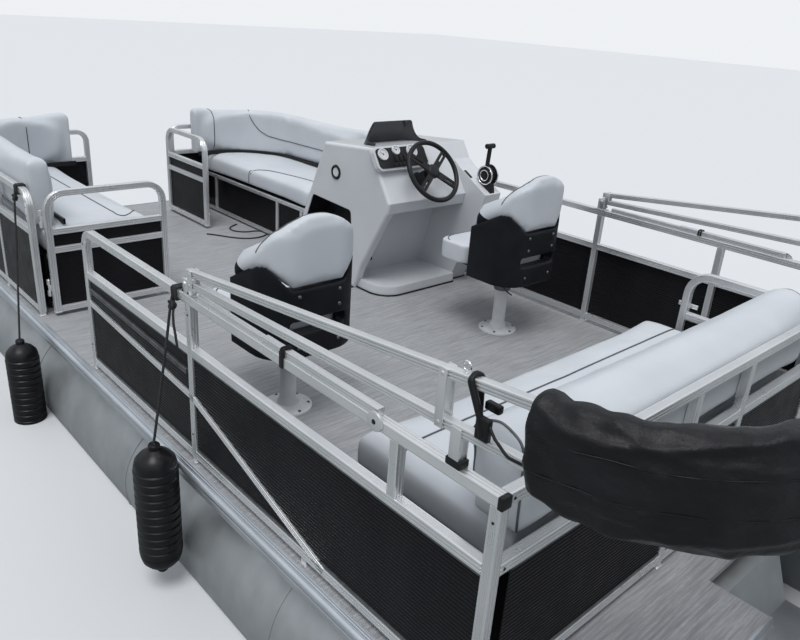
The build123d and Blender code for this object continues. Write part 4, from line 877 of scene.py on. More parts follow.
def make_fender_lines():
    """Each fender on its own line from the top rail."""
    for name, (forward, top, hitch) in FENDERS.items():
        make_fender(name, forward, top)
        knots = make_hitch(name, at(hitch), tail=name == "aft")
        start = Vector((at(hitch), FENCE_Y + 0.025, TOP_Z))
        finish = Vector((at(forward), FENDER_Y, DECK + top + 0.0005))
        run = finish - start
        route = [start, start + run * 0.06 + Vector((0, 0.004, 0)), start + run * 0.3, start + run * 0.62,
                 start + run * 0.9, finish]
        line = rope(f"fender_rope_{name}", route)
        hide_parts(f"fender_line_{name}")
        round(spline_length(line), 3)


DECK_LINE_ROUTE = (
    (4.110, -0.520), (4.075, -0.440), (4.010, -0.400), (3.935, -0.420), (3.890, -0.480), (3.890, -0.545),
    (3.850, -0.600), (3.780, -0.590), (3.735, -0.520), (3.730, -0.435), (3.770, -0.355), (3.840, -0.300),
    (3.920, -0.255), (3.990, -0.200),
)


def make_deck_line():
    """Rope left lying on the deck."""
    z = DECK + LINE / 2 + 0.0003
    route = [(at(x), y, z) for x, y in DECK_LINE_ROUTE]
    line = rope("deck_rope", route)
    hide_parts("deck_line")
    round(spline_length(line), 3)


make_fender_lines()
make_deck_line()


# Grooved square tube of the fences, gates and folded top
def face_profile(length, depth, width, offsets):
    """Half-open line of one face of a tube, with its grooves, along its own length."""
    line = []
    for offset in offsets:
        line += [
            (offset - width / 2, 0.0), (offset - width / 2 + depth * 0.4, -depth),
            (offset + width / 2 - depth * 0.4, -depth), (offset + width / 2, 0.0),
        ]
    return [(along, out) for along, out in line if abs(along) < length / 2]


def tube_section(name, wide, high, side_grooves, top_grooves):
    """Section of an extruded tube: bands on its sides and fine lines on its top and bottom."""
    corner = 0.0028
    points = []
    for quarter in range(4):
        flat = quarter % 2 == 0
        length = (high if flat else wide) - 2 * corner
        reach = (wide if flat else high) / 2
        grooves = side_grooves if flat else top_grooves
        width, depth = (0.0034, 0.0040) if flat else (0.0017, 0.0015)
        turn = Matrix.Rotation(quarter * math.pi / 2, 2)
        for along, out in face_profile(length, depth, width, grooves):
            points.append(turn @ Vector((reach + out, along)))
        for step in range(4):
            angle = step * math.pi / 6
            points.append(turn @ Vector((
                reach - corner + corner * math.cos(angle), length / 2 + corner * math.sin(angle),
            )))
    return new_curve(name, points, closed=True, flat=True)


SECTIONS = {
    "tube": tube_section("tube_section", TUBE, TUBE, (-0.0052, 0.0052), (-0.0075, -0.0025, 0.0025, 0.0075)),
    "bow": tube_section("bow_section", 0.025, 0.025, (-0.0042, 0.0042), (-0.005, 0.0, 0.005)),
    "brace": tube_section("brace_section", 0.0177, 0.025, (-0.0042, 0.0042), (-0.003, 0.003)),
    "strut": tube_section("strut_section", 0.020, 0.020, (-0.003, 0.003), (-0.003, 0.003)),
    "sleeve": tube_section("sleeve_section", 0.024, 0.024, (-0.004, 0.004), (-0.004, 0.004)),
}
JOINT = 0.0003


def rail(points, radii=(), section="tube", trim=HALF + JOINT):
    """A length of tube along a line, its ends kept clear of the posts."""
    points = [Vector(point) for point in points]
    points[0] += (points[1] - points[0]).normalized() * trim
    points[-1] += (points[-2] - points[-1]).normalized() * trim
    return sweep(SECTIONS[section], bent(points, radii) if len(points) > 2 else points)


def upright(x, y, low=FOOT_Z, high=TOP_Z - HALF):
    """A post of square tube."""
    return sweep(SECTIONS["tube"], [(x, y, low), (x, y, high - JOINT)])


def stand(x, y):
    """Stand-off under a post, with its washer plate."""
    foot, washer, top = 0.013, 0.019, DECK + 0.003
    return [block(x, y, foot, foot, DECK, FOOT_Z, 0.001), block(x, y, washer, washer, DECK, top, 0.001)]


def screw(place, out, radius=0.0042):
    """Low domed screw head."""
    dome = [(0.0, 0.0022), (radius * 0.5, 0.0020), (radius * 0.86, 0.0012), (radius, 0.0), (radius, -0.001)]
    return turned(dome, Vector(place), Vector(out), 16)


KNUCKLE_STEP = 0.0306
LEAF_HALF = 0.0148


def knuckles(name, gate_side):
    """One side's half of a gate's hinges: barrels with their leaves, and the pins."""
    (ax, ay), (along_x, along_y), (face_x, face_y), _ = GATES[name]
    if gate_side:
        direction, normal, shifts = (along_x, along_y), (face_x, face_y), (0.0,)
    else:
        direction, normal, shifts = (-along_y, along_x), (face_y, -face_x), (-KNUCKLE_STEP, KNUCKLE_STEP)
    barrel = [(0.0, 0.015), (0.0062, 0.015), (0.007, 0.0142), (0.007, -0.0142), (0.0062, -0.015),
              (0.0, -0.015)]
    pin = [(0.0, 0.048), (0.0035, 0.048), (0.0045, 0.0465), (0.0045, 0.0456), (0.003, 0.0455),
           (0.003, -0.0460), (0.0, -0.0460)]
    inner = (ax + normal[0] * 0.005, ay + normal[1] * 0.005)
    far = (ax + direction[0] * 0.014 + normal[0] * 0.009, ay + direction[1] * 0.014 + normal[1] * 0.009)
    parts = []
    for level in HINGE_LEVELS:
        for z in [level + shift for shift in shifts]:
            parts.append(turned(barrel, (ax, ay, z), steps=20))
            parts.append(bar((*inner, z - LEAF_HALF), (*far, z + LEAF_HALF), 0.0008, 1))
        if not gate_side:
            parts.append(turned(pin, (ax, ay, level), steps=16))
    return parts


AFT_BAYS = ((0.0, MIDDLE_POST), (MIDDLE_POST, FRONT_POST))
FENCE_AFT = -0.016


def make_port_fence():
    """Port fence: the aft half with its brace, and the bow half beyond the side gate."""
    port, front = FENCE_Y, at(FRONT_POST)
    top = [(front, port, FOOT_Z), (front, port, TOP_Z), (at(FENCE_AFT), port, TOP_Z)]
    parts = [rail(top, [BEND], trim=0.0)]
    parts += [upright(at(x), port) for x in (MIDDLE_POST, 0.0)]
    parts.append(upright(at(SHORT_POST), port, low=MID_Z + HALF + JOINT))
    for level in (MID_Z, LOW_Z):
        for aft, fore in reversed(AFT_BAYS):
            parts.append(rail([(at(fore), port, level), (at(aft), port, level)]))
    for x in (FRONT_POST, MIDDLE_POST, 0.700, 0.0):
        parts += stand(at(x), port)
    side = port + HALF - 0.00885
    brace = [(front, side, DECK + 0.326), (at(MIDDLE_POST), side, DECK + 0.274), (at(0.585), side, LOW_Z)]
    parts.append(rail(brace, [0.05], "brace", trim=0.012))
    parts += bow_run("port", HINGE_POST, BOW_POSTS, bend_start=True)
    parts += knuckles("side_gate", gate_side=False)
    done_rails("port_fence_rails", parts, replaces=("fence_frame_port",))


def make_starboard_fence():
    """Starboard fence in one run, with the bow gate's hinges."""
    parts = bow_run("starboard", 0.0, STARBOARD_POSTS, bend_start=False)
    parts += knuckles("bow_gate", gate_side=False)
    done_rails("starboard_fence_rails", parts, replaces=("fence_frame_starboard",))


def make_stern_fence():
    """Stern fence from the port corner to the stern gate's post."""
    stern, parts = at(0.0), []
    posts = STERN_POSTS[1:]
    for first, second in zip((FENCE_Y, *posts), posts):
        for level in (MID_Z, LOW_Z):
            parts.append(rail([(stern, first, level), (stern, second, level)]))
    parts.append(rail([(stern, FENCE_Y, TOP_Z), (stern, STERN_POST_Y - HALF, TOP_Z)]))
    parts += [upright(stern, y) for y in posts]
    for y in STERN_POSTS:
        parts += stand(stern, y)
    parts += knuckles("stern_gate", gate_side=False)
    done_rails("stern_fence_rails", parts, replaces=("fence_frame_stern",))


def make_rail_caps():
    """Black end caps of the top rails, and the screws in the posts."""
    port, stern, aft = FENCE_Y, at(0.0), at(FENCE_AFT)
    cap, end = 0.0168, STERN_POST_Y - HALF
    parts = [
        bar((aft - 0.004, port - cap, TOP_Z - cap), (aft + 0.012, port + cap, TOP_Z + cap), 0.003),
        bar((stern - cap, end - 0.004, TOP_Z - cap), (stern + cap, end + 0.010, TOP_Z + cap), 0.003),
    ]
    for level in (TOP_Z, MID_Z, LOW_Z):
        for y in (port - HALF - 0.014, STERN_POST_Y + HALF + 0.014):
            parts.append(screw((stern - HALF - 0.0004, y, level), (-1, 0, 0)))
    for x in (0.0, MIDDLE_POST, FRONT_POST):
        for level in (DECK + 0.596, DECK + 0.120):
            parts.append(screw((at(x), port + HALF + 0.0002, level), (0, 1, 0), 0.0038))
    done("rail_caps", parts, "black_plastic", "hull")


def bow_run(side, start, posts, bend_start):
    """A side fence from its first post, round the bow corner to the post at the bow opening."""
    sign = 1 if side == "port" else -1
    y, first = sign * FENCE_Y, at(start)
    end = (BOW_X, sign * BOW_POST_Y)
    top = [(first, y, TOP_Z), (BOW_X, y, TOP_Z), (*end, TOP_Z), (*end, FOOT_Z)]
    if bend_start:
        parts = [rail([(first, y, FOOT_Z), *top], [BEND, BOW_CORNER, BEND], trim=0.0)]
        edges = [start, *posts]
    else:
        parts = [rail([(first - HALF, y, TOP_Z), *top[1:]], [BOW_CORNER, BEND], trim=0.0)]
        edges = list(posts)
    parts += [upright(at(x), y) for x in posts]
    for level in (MID_Z, LOW_Z):
        for before, after in zip(edges, edges[1:]):
            parts.append(rail([(at(before), y, level), (at(after), y, level)]))
        parts.append(rail([(at(edges[-1]), y, level), (BOW_X, y, level), (*end, level)], [BOW_CORNER]))
    for x in edges:
        parts += stand(at(x), y)
    parts += stand(*end)
    return parts


GATE_OFFSET = 0.024
GATE_NEAR = 0.022
GATE_TRIM = 0.010
GATE_BEND = 0.090
GATE_MIDDLE = 0.360
GATE_SHEETS = ((0.052, 0.344), (0.376, 0.441))


def make_gates():
    """The three gates, open."""
    for name, ((ax, ay), (dx, dy), (fx, fy), length) in GATES.items():
        def on_gate(along, high, out=0.0):
            """Place on the open gate: from its hinge, above the deck, and out of its middle plane."""
            reach = GATE_OFFSET + out
            return Vector((ax + dx * along + fx * reach, ay + dy * along + fy * reach, DECK + high))
        near, far = GATE_NEAR, length - GATE_TRIM
        corners = [(near, FOOT), (near, TOP_RAIL), (far, TOP_RAIL), (far, FOOT)]
        parts = [rail([on_gate(*corner) for corner in corners], [GATE_BEND, GATE_BEND], trim=0.0)]
        for level in (MID_RAIL, GATE_MIDDLE, LOW_RAIL):
            parts.append(rail([on_gate(near, level), on_gate(far, level)]))
        parts += knuckles(name, gate_side=True)
        done_rails(f"{name}_rails", parts, name, (f"{name}_frame",))
        stop = far - 0.060
        pads = [bar(on_gate(stop - 0.013, 0.0145, -0.012), on_gate(stop + 0.013, 0.026, 0.012))]
        for along in (near, far):
            pads.append(bar(on_gate(along - 0.017, 0.0175, -0.017), on_gate(along + 0.017, 0.025, 0.017)))
        done(f"{name}_feet", pads, "white_enamel", name)
        sheets = []
        for low, high in GATE_SHEETS:
            section = fluted_section(high - low, name, depth=0.0009)
            middle = (low + high) / 2
            sheets.append(sweep(section, [on_gate(near + HALF, middle), on_gate(far - HALF, middle)]))
            bpy.data.objects.remove(section)
        done_sheets(f"{name}_sheet", sheets, name, f"{name}_panel")


def fluted_section(height, name, pitch=0.0125, depth=0.0024, thick=0.0016):
    """Section of a fluted sheet: narrow ridges with flats between them."""
    count = max(1, round(height / pitch))
    step = height / count
    front = []
    for index in range(count):
        base = -height / 2 + index * step
        front += [
            (0.0, base + step * 0.04), (0.0, base + step * 0.36), (depth * 0.5, base + step * 0.43),
            (depth, base + step * 0.52), (depth, base + step * 0.86), (depth * 0.5, base + step * 0.94),
        ]
    back = [(x - thick, z) for x, z in reversed(front)]
    shift = (depth - thick) / 2
    line = [(x - shift, z) for x, z in front + back]
    return new_curve(f"{name}_sheet_section", line, closed=True, flat=True)


SHEET_HEIGHT = 0.389
SHEET_SHIFT = 0.009
PORT_SHEET_Y = FENCE_Y + SHEET_SHIFT - 0.004
STERN_SHEET_X = at(0.0) - SHEET_SHIFT + 0.003
STRIP_LEVELS = (0.056, 0.437)
STRIP_HALF = 0.005


def make_panels():
    """Fluted black sheets behind the rails."""
    middle = (LOW_Z + MID_Z) / 2
    section = fluted_section(SHEET_HEIGHT, "fence")

    def between(first, second, y):
        """One straight sheet between two posts."""
        return sweep(section, [(at(first) + HALF, y, middle), (at(second) - HALF, y, middle)])

    aft = [between(first, second, PORT_SHEET_Y) for first, second in AFT_BAYS]
    for side, sign, posts, sheets in (
        ("port", 1, (HINGE_POST, *BOW_POSTS), aft), ("starboard", -1, STARBOARD_POSTS, []),
    ):
        y, x = sign * (FENCE_Y + SHEET_SHIFT), BOW_X + SHEET_SHIFT
        sheets += [between(first, second, y) for first, second in zip(posts, posts[1:])]
        corner = [(at(posts[-1]) + HALF, y, middle), (x, y, middle), (x, sign * (BOW_POST_Y + HALF), middle)]
        sheets.append(sweep(section, bent(corner, [BOW_CORNER + SHEET_SHIFT], 14)))
        done_sheets(f"{side}_fence_sheets", sheets, "hull", f"fence_panels_{side}")
    x = STERN_SHEET_X
    sheets = []
    for first, second in zip(STERN_POSTS, STERN_POSTS[1:]):
        sheets.append(sweep(section, [(x, first - HALF, middle), (x, second + HALF, middle)]))
    done_sheets("stern_fence_sheets", sheets, "hull", "fence_panels_stern")
    bpy.data.objects.remove(section)


def make_edge_strips():
    """Grey strips along the upper and lower edges of the port and stern sheets."""
    strips = []
    for first, second in AFT_BAYS:
        for level in STRIP_LEVELS:
            strips.append(bar((at(first) + HALF, PORT_SHEET_Y - 0.003, DECK + level - STRIP_HALF),
                              (at(second) - HALF, PORT_SHEET_Y + 0.007, DECK + level + STRIP_HALF), 0.001))
    for first, second in zip(STERN_POSTS, STERN_POSTS[1:]):
        for level in STRIP_LEVELS:
            strips.append(bar((STERN_SHEET_X - 0.006, second + HALF, DECK + level - STRIP_HALF),
                              (STERN_SHEET_X + 0.003, first - HALF, DECK + level + STRIP_HALF), 0.001))
    done("sheet_edge_strips", strips, "dark_metal", "hull")


def make_deck_edge():
    """Edge extrusion round the deck, with its rub bead and fine lines."""
    # How far out and how far down, in millimetres
    profile = [
        (0, 98), (0, -3), (8.4, -3), (9.6, -2), (10.4, 2), (9.2, 3.5), (9.4, 5.5), (12.0, 6.6), (13, 8),
        (13, 13), (11.4, 14.2), (11.4, 16.4), (13, 17.6), (13, 22),
    ]
    bead_out, bead_down, bead_radius = 9.5, 37, 15.5
    for step in range(1, 12):
        angle = math.radians(-75 + step * 12.5)
        profile.append((bead_out + bead_radius * math.cos(angle), bead_down + bead_radius * math.sin(angle)))
    profile += [(13, 52), (13, 54), (11.4, 55.2), (11.4, 57.2), (13, 58.4), (13, 60), (9, 66), (9, 72),
                (7.4, 73), (7.4, 76), (9, 77), (9, 98)]
    outline = [(-out / 1000, -down / 1000) for out, down in profile]
    section = new_curve("edge_section", outline, closed=True, flat=True)
    half, aft, bow, gap = 1.270, at(-DECK_AFT), at(5.010), 0.280
    corners = [(aft, gap), (aft, half), (bow, half), (bow, -half), (aft, -half), (aft, -gap)]
    line = bent([(x, y, DECK) for x, y in corners], [0.060, 0.640, 0.640, 0.060], 12)
    edge = sweep(section, line)
    bpy.data.objects.remove(section)
    done("deck_edge_extrusion", edge, "rub_metal", "hull", 24, replaces=("deck_edge",))


TOP_PIVOT = 1.404
TOP_BOWS = (
    # height of the pivot's end above the rail, rise aft in degrees, start and length aft of the pivot
    (0.044, 2.3, 0.0, 1.930),
    (0.082, 6.3, 0.020, 1.926),
)
CRUTCH = 0.135
MOUNT_PLATE = 0.400
MOUNT_CLIP = 0.826


def bow_height(row, forward):
    """Height of a folded bow at a station."""
    above, rise = TOP_BOWS[row][:2]
    return RAIL_TOP + above + (TOP_PIVOT - forward) * math.tan(math.radians(rise))


def make_top_bows():
    """The folded top's two bows and the links between them."""
    pivot = at(TOP_PIVOT)
    parts = []
    for above, rise, start, length in TOP_BOWS:
        line = bent([(-start + 0.020, FENCE_Y, 0), (-length, FENCE_Y, 0), (-length, -FENCE_Y, 0),
                     (-start + 0.020, -FENCE_Y, 0)], [0.440, 0.440], 16)
        bow = sweep(SECTIONS["bow"], line)
        raised = Matrix.Translation((pivot, 0, RAIL_TOP + above))
        bow.matrix_world = raised @ Matrix.Rotation(math.radians(rise), 4, "Y")
        parts.append(apply_place(bow))
    for forward in (1.374, 0.190):
        low, high = bow_height(0, forward), bow_height(1, forward)
        for sign in (1, -1):
            middle = sign * FENCE_Y
            for face in (middle + 0.0150, middle - 0.0150):
                parts.append(block(at(forward), face, 0.013, 0.0022, low - 0.014, high + 0.014))
            for z in (low, high):
                parts.append(screw((at(forward), middle + sign * 0.0172, z), (0, sign, 0), 0.0055))
    done_rails("top_bows", parts, "bimini", ("bimini_frame",))


def pivot_mount(y, sign):
    """Pivot's base plate, cheeks and bolt on one rail."""
    pivot = at(TOP_PIVOT)
    parts = [block(pivot, y, 0.032, 0.020, RAIL_TOP, RAIL_TOP + 0.004, 0.0015)]
    for face in (y + 0.0158, y - 0.0158):
        parts.append(block(pivot, face, 0.019, 0.002, RAIL_TOP + 0.003, RAIL_TOP + 0.061, 0.0018))
    bolt = [(0.0, 0.023), (0.006, 0.0225), (0.008, 0.019), (0.008, 0.0180), (0.0045, 0.0180),
            (0.0045, -0.0180), (0.008, -0.018), (0.008, -0.022), (0.0, -0.0225)]
    parts.append(turned(bolt, (pivot, y, RAIL_TOP + 0.044), (0, sign, 0), 20))
    return parts


def crutch_mount(y):
    """Crutch that holds up the folded bows on one rail."""
    x, top = at(CRUTCH), bow_height(0, CRUTCH) - 0.0128
    parts = [block(x, y, 0.014, 0.011, RAIL_TOP + 0.012, top - 0.002)]
    for face in (y + 0.0140, y - 0.0140):
        parts.append(block(x, face, 0.016, 0.002, RAIL_TOP + 0.020, top + 0.020))
    return parts


def make_top_mounts():
    """Pivots, crutches and stowed struts on the rails, with their black clips."""
    pivot, low_place = at(TOP_PIVOT), RAIL_TOP - 0.008
    disc = [(0.0, 0.0045), (0.022, 0.0045), (0.0270, 0.003), (0.028, 0.0), (0.028, -0.0024), (0.0, -0.0024)]
    parts, black = [], []
    for sign in (1, -1):
        y = sign * FENCE_Y
        parts += pivot_mount(y, sign) + crutch_mount(y)
        black.append(block(at(CRUTCH), y, 0.023, 0.0165, RAIL_TOP, RAIL_TOP + 0.020, 0.003))
        strut, sleeve = RAIL_TOP + 0.010, RAIL_TOP + 0.0121
        parts.append(rail([(at(0.905), y, strut), (at(1.337), y, strut)], section="strut", trim=0.0))
        parts.append(rail([(at(MOUNT_PLATE), y, sleeve), (at(0.931), y, sleeve)], section="sleeve", trim=0.0))
        parts.append(turned(disc, (at(MOUNT_PLATE), y + sign * (HALF + 0.003), low_place), (0, sign, 0), 40))
        black.append(screw((at(MOUNT_PLATE), y + sign * (HALF + 0.0075), low_place), (0, sign, 0), 0.0075))
        for shift in (-0.0192, 0.0192):
            black.append(screw((pivot + shift, y + sign * 0.0180, RAIL_TOP + 0.014), (0, sign, 0), 0.0045))
        for x in (at(MOUNT_CLIP), at(MOUNT_CLIP) - 0.012):
            left, right, top = y - 0.0150, y + 0.0150, RAIL_TOP + 0.0270
            band = [(x, left, RAIL_TOP), (x, left, top), (x, right, top), (x, right, RAIL_TOP)]
            black.append(rod(bent(band, 0.006, 4), 0.0038, 2))
        buckle = y + sign * 0.017
        black.append(bar((at(0.812), buckle - 0.006, RAIL_TOP - 0.034),
                         (at(0.830), buckle + 0.004, RAIL_TOP + 0.020), 0.003))
    done_rails("top_mounts", parts, replaces=("bimini_mounts",))
    done("top_clips", black, "black_plastic", "hull", 30)


make_port_fence()
make_starboard_fence()
make_stern_fence()
make_rail_caps()
make_gates()
make_panels()
make_edge_strips()
make_deck_edge()
make_top_bows()
make_top_mounts()


# Upholstery: each cushion is blown up from its plain solid, and piped afterwards
CUSHIONS = {
    # node, cell of the new surface, how far it starts inside, largest movement
    "lounge_port_seat": (0.022, 0.012, 0.026),
    "lounge_port_back": (0.022, 0.012, 0.022),
    "lounge_starboard_seat": (0.022, 0.012, 0.026),
    "lounge_starboard_back": (0.022, 0.012, 0.022),
    "bench_seat": (0.021, 0.012, 0.028),
    "bench_back": (0.021, 0.012, 0.024),
    "helm_chair_upholstery": (0.013, 0.003, 0.006),
    "companion_chair_upholstery": (0.013, 0.003, 0.006),
}


def loose_parts(name):
    """Merged copy of a node's mesh, one object for each closed part, lowest first."""
    node = nodes[name]
    twin = link("cushion", node.data.copy())
    twin.matrix_world = node.matrix_world.copy()
    outward(apply_place(twin), 0.0001)
    bpy.ops.object.mode_set(mode="EDIT")
    bpy.ops.mesh.select_all(action="SELECT")
    bpy.ops.mesh.separate(type="LOOSE")
    bpy.ops.object.mode_set(mode="OBJECT")

    def height(piece):
        """Mean height of a part's corners."""
        return sum(v.co.z for v in piece.data.vertices) / len(piece.data.vertices)

    return sorted(bpy.context.selected_objects, key=height)


LOUNGES = {
    # side: sign, aft end, stations of the base's studs
    "port": (1, 3.130, (3.215, 3.860, 4.520)),
    "starboard": (-1, 3.255, (3.340, 3.640, 4.520)),
}
LOUNGE_FRONT = 0.560
LOUNGE_WALL = 1.198
LOUNGE_BOW = 4.734
LOUNGE_CORNER = 0.574
SEAT_HEIGHTS = (0.3065, 0.4465)
SEAT_EDGE = 0.040
BASE_HEIGHTS = (0.012, 0.305)
BASE_INSET = 0.030


def lounge_blank(sign, aft, inset, low, high, edge):
    """Straight-fronted block whose outer bow corner follows the fence's curve."""
    start, bow = at(aft + inset), at(LOUNGE_BOW - inset)
    front, wall = LOUNGE_FRONT + inset, LOUNGE_WALL
    middle = (start + bow) / 2
    line = bent([(middle, front, 0), (bow, front, 0), (bow, wall, 0), (start, wall, 0), (start, front, 0),
                 (middle, front, 0)], [0.04, LOUNGE_CORNER - inset, 0.03, 0.05], 8)[:-1]
    piece = new_mesh("block", [(p.x, sign * p.y, DECK + low) for p in line], [tuple(range(len(line)))])
    select_only(piece)
    bpy.ops.object.mode_set(mode="EDIT")
    bpy.ops.mesh.select_all(action="SELECT")
    bpy.ops.mesh.extrude_region_move(TRANSFORM_OT_translate={"value": (0, 0, high - low)})
    if edge:
        bpy.ops.mesh.bevel(offset=edge, segments=4, affect="EDGES")
    bpy.ops.object.mode_set(mode="OBJECT")
    return outward(piece, 0.0001)


BASE_BAR_HALF = 0.0125
BASE_BAR_LOW = DECK + 0.0255


def make_bases():
    """Black boxes under the lounges, framed by bright bars."""
    half, high, low = BASE_BAR_HALF, DECK + 0.2925, BASE_BAR_LOW
    for side, (sign, aft, studs) in LOUNGES.items():
        box = lounge_blank(sign, aft, BASE_INSET, *BASE_HEIGHTS, 0.0)
        done(f"lounge_{side}_box", box, "panel_paint", "hull", 30,
             replaces=(f"lounge_{side}_base",))
        face, start, bow = sign * (LOUNGE_FRONT + 0.0265), at(aft + 0.0395), at(4.700)
        parts = []
        for z in (high, low):
            front = [(start - half, face, z), (bow, face, z)]
            across = [(start, face + sign * half, z), (start, sign * 1.170, z)]
            parts += [rail(line, section="bow", trim=0.0) for line in (front, across)]
        for x, y in [(at(stud), face) for stud in studs] + [(start, sign * 1.150)]:
            parts.append(sweep(SECTIONS["bow"], [(x, y, low + half), (x, y, high - half)]))
        done_rails(f"lounge_{side}_base_bars", parts)


def make_bench_bars():
    """Bright bars of the bench's base, with their studs."""
    parts, face = [], at(0.5905)
    for z in (DECK + 0.2865, BASE_BAR_LOW):
        parts.append(rail([(face, -0.580, z), (face, 1.060, z)], section="bow", trim=0.0))
    for y in (-0.567, -0.033, 0.513, 1.047):
        parts.append(sweep(SECTIONS["bow"], [(face, y, DECK + 0.038), (face, y, DECK + 0.274)]))
    done_rails("bench_base_bars", parts)


def fit_to_boat(piece, name):
    """Last changes of a cushion's outline."""
    lounge_back = name.startswith("lounge") and name.endswith("_back")
    inner_edge, narrower = 0.75, 0.80
    bench_front, longer = at(0.300), 0.17
    roll_middle, lower = DECK + 0.4415, 0.15
    for vertex in piece.data.vertices:
        place = vertex.co
        if lounge_back and abs(place.y) < inner_edge:
            place.y = math.copysign(inner_edge - (inner_edge - abs(place.y)) * narrower, place.y)
        if name == "bench_seat" and place.x > bench_front:
            place.x += (place.x - bench_front) * longer
        if name == "bench_back":
            place.z -= max(0.0, place.z - roll_middle) * lower


def cushion_blanks():
    """Plain forms of all cushions with an even surface, and what each of them needs later."""
    blanks = []
    for name, (cell, inside, reach) in CUSHIONS.items():
        side = name.split("_")[1]
        if name.endswith("_seat") and side in LOUNGES:
            sign, aft, _ = LOUNGES[side]
            pieces = [lounge_blank(sign, aft, 0.0, *SEAT_HEIGHTS, SEAT_EDGE)]
        else:
            pieces = loose_parts(name)
        for index, piece in enumerate(pieces):
            apply_modifier(piece, "REMESH", mode="VOXEL", voxel_size=cell)
            blanks.append((name, index, piece, inside, reach, min(v.co.z for v in piece.data.vertices)))
    return blanks


def add_cloth(piece, frames):
    """Cloth under pressure, without gravity."""
    cloth = piece.modifiers.new("cloth", "CLOTH")
    settings = cloth.settings
    settings.quality = 4
    settings.mass = 0.4
    settings.tension_stiffness = settings.compression_stiffness = 9.0
    settings.shear_stiffness = 5.0
    settings.bending_stiffness = 2.0
    settings.use_pressure = True
    settings.uniform_pressure_force = 4.0
    settings.effector_weights.gravity = 0.0
    cloth.collision_settings.use_collision = False
    cloth.point_cache.frame_start, cloth.point_cache.frame_end = 1, frames


def blow_up(blanks, frames=20):
    """Let a short cloth simulation fill the cushions, and keep each point within its reach."""
    for _, _, piece, inside, _, _ in blanks:
        apply_modifier(piece, "DISPLACE", strength=-inside, mid_level=0.0)
        add_cloth(piece, frames)
    for frame_number in range(1, frames + 1):
        bpy.context.scene.frame_set(frame_number)
    depsgraph = bpy.context.evaluated_depsgraph_get()
    shaped = {}
    for _, _, piece, _, _, _ in blanks:
        shaped[piece.name] = [v.co.copy() for v in piece.evaluated_get(depsgraph).data.vertices]
    for _, _, piece, _, reach, _ in blanks:
        piece.modifiers.clear()
        for vertex, place in zip(piece.data.vertices, shaped[piece.name]):
            move = place - vertex.co
            if move.length > reach:
                move *= reach / move.length
            vertex.co += move
        apply_modifier(piece, "SMOOTH", factor=0.5, iterations=5)
    bpy.context.scene.frame_set(1)


def make_cushions():
    """All cushions, by their names."""
    blanks = cushion_blanks()
    blow_up(blanks)
    limit = FENCE_Y - HALF - 0.001
    made = {}
    for name, index, piece, _, _, floor in blanks:
        chair = "chair" in name
        fit_to_boat(piece, name)
        for vertex in piece.data.vertices:
            vertex.co.z = max(vertex.co.z, floor)
            if not chair:
                vertex.co.x = max(vertex.co.x, at(0.017))
                vertex.co.y = max(-limit, min(limit, vertex.co.y))
        if chair:
            lower_wings(piece, name)
        apply_modifier(piece, "SUBSURF", levels=1, render_levels=1)
        body, label = "hull", f"{name}_cushion"
        if chair:
            body = name.replace("_upholstery", "_seat")
            label = name.replace("_upholstery", ("_seat_cushion", "_back_cushion")[index])
        if chair and index == 1:
            split_wings(piece, name)
        done(label, piece, "upholstery_vinyl", body, 60, replaces=(name,))
        made[label] = piece
    return made


CHAIRS = {
    # station, distance to port of the centreline
    "companion": (1.555, 0.735),
    "helm": (1.606, -0.707),
}


def lower_wings(piece, name):
    """Let a chair's wings fall away towards the front, above its seat."""
    centre = at(CHAIRS[name.split("_")[0]][0])
    wing_length, seat_top, fade, slope = 0.150, 0.520, 0.18, 0.55
    for vertex in piece.data.vertices:
        ahead = vertex.co.x - centre + wing_length
        above = vertex.co.z - DECK - seat_top
        if ahead > 0 and above > 0:
            vertex.co.z -= min(1.0, above / fade) * ahead * slope


def split_wings(piece, name):
    """Black outer skin of a chair's wings, parted from its light back cushion."""
    chair = name.split("_")[0]
    centre, middle = at(CHAIRS[chair][0]), CHAIRS[chair][1]
    rear, rear_out = Vector((centre - 0.178, middle, DECK + 0.745)), Vector((1, 0, 0.30))
    top, top_out = Vector((centre, middle, DECK + 0.672)), Vector((-0.35, 0, 1))
    wing_side, inward = 0.170, -0.25
    shape = bmesh.new()
    shape.from_mesh(piece.data)
    for place, across in ((rear, rear_out), (top, top_out)):
        bmesh.ops.bisect_plane(shape, geom=shape.verts[:] + shape.edges[:] + shape.faces[:], dist=0.0004,
                               plane_co=place, plane_no=across)
    shape.normal_update()
    for face in shape.faces:
        place = face.calc_center_median()
        side = math.copysign(1.0, place.y - middle)
        outer = face.normal.y * side > inward and abs(place.y - middle) > wing_side
        behind = (place - rear).dot(rear_out) < 0
        above = (place - top).dot(top_out) > 0
        face.select = outer and not behind and not above
    shape.to_mesh(piece.data)
    shape.free()
    select_only(piece)
    bpy.ops.object.mode_set(mode="EDIT")
    bpy.ops.mesh.select_mode(type="FACE")
    bpy.ops.mesh.separate(type="SELECTED")
    bpy.ops.mesh.select_mode(type="VERT")
    bpy.ops.object.mode_set(mode="OBJECT")
    skin = next(other for other in bpy.context.selected_objects if other is not piece)
    done(f"{chair}_chair_wing_skin", skin, "shell_vinyl", f"{chair}_chair_seat", 60)


def make_shells():
    """Black backs of the chairs, with lowered wings."""
    for chair in CHAIRS:
        piece = loose_parts(f"{chair}_chair_shell")
        select_only(*piece)
        if len(piece) > 1:
            bpy.ops.object.join()
        shell = bpy.context.view_layer.objects.active
        apply_modifier(shell, "REMESH", mode="VOXEL", voxel_size=0.0075)
        apply_modifier(shell, "SMOOTH", factor=0.5, iterations=2)
        lower_wings(shell, chair)
        done(f"{chair}_chair_back_shell", shell, "shell_vinyl", f"{chair}_chair_seat", 50,
             replaces=(f"{chair}_chair_shell",))


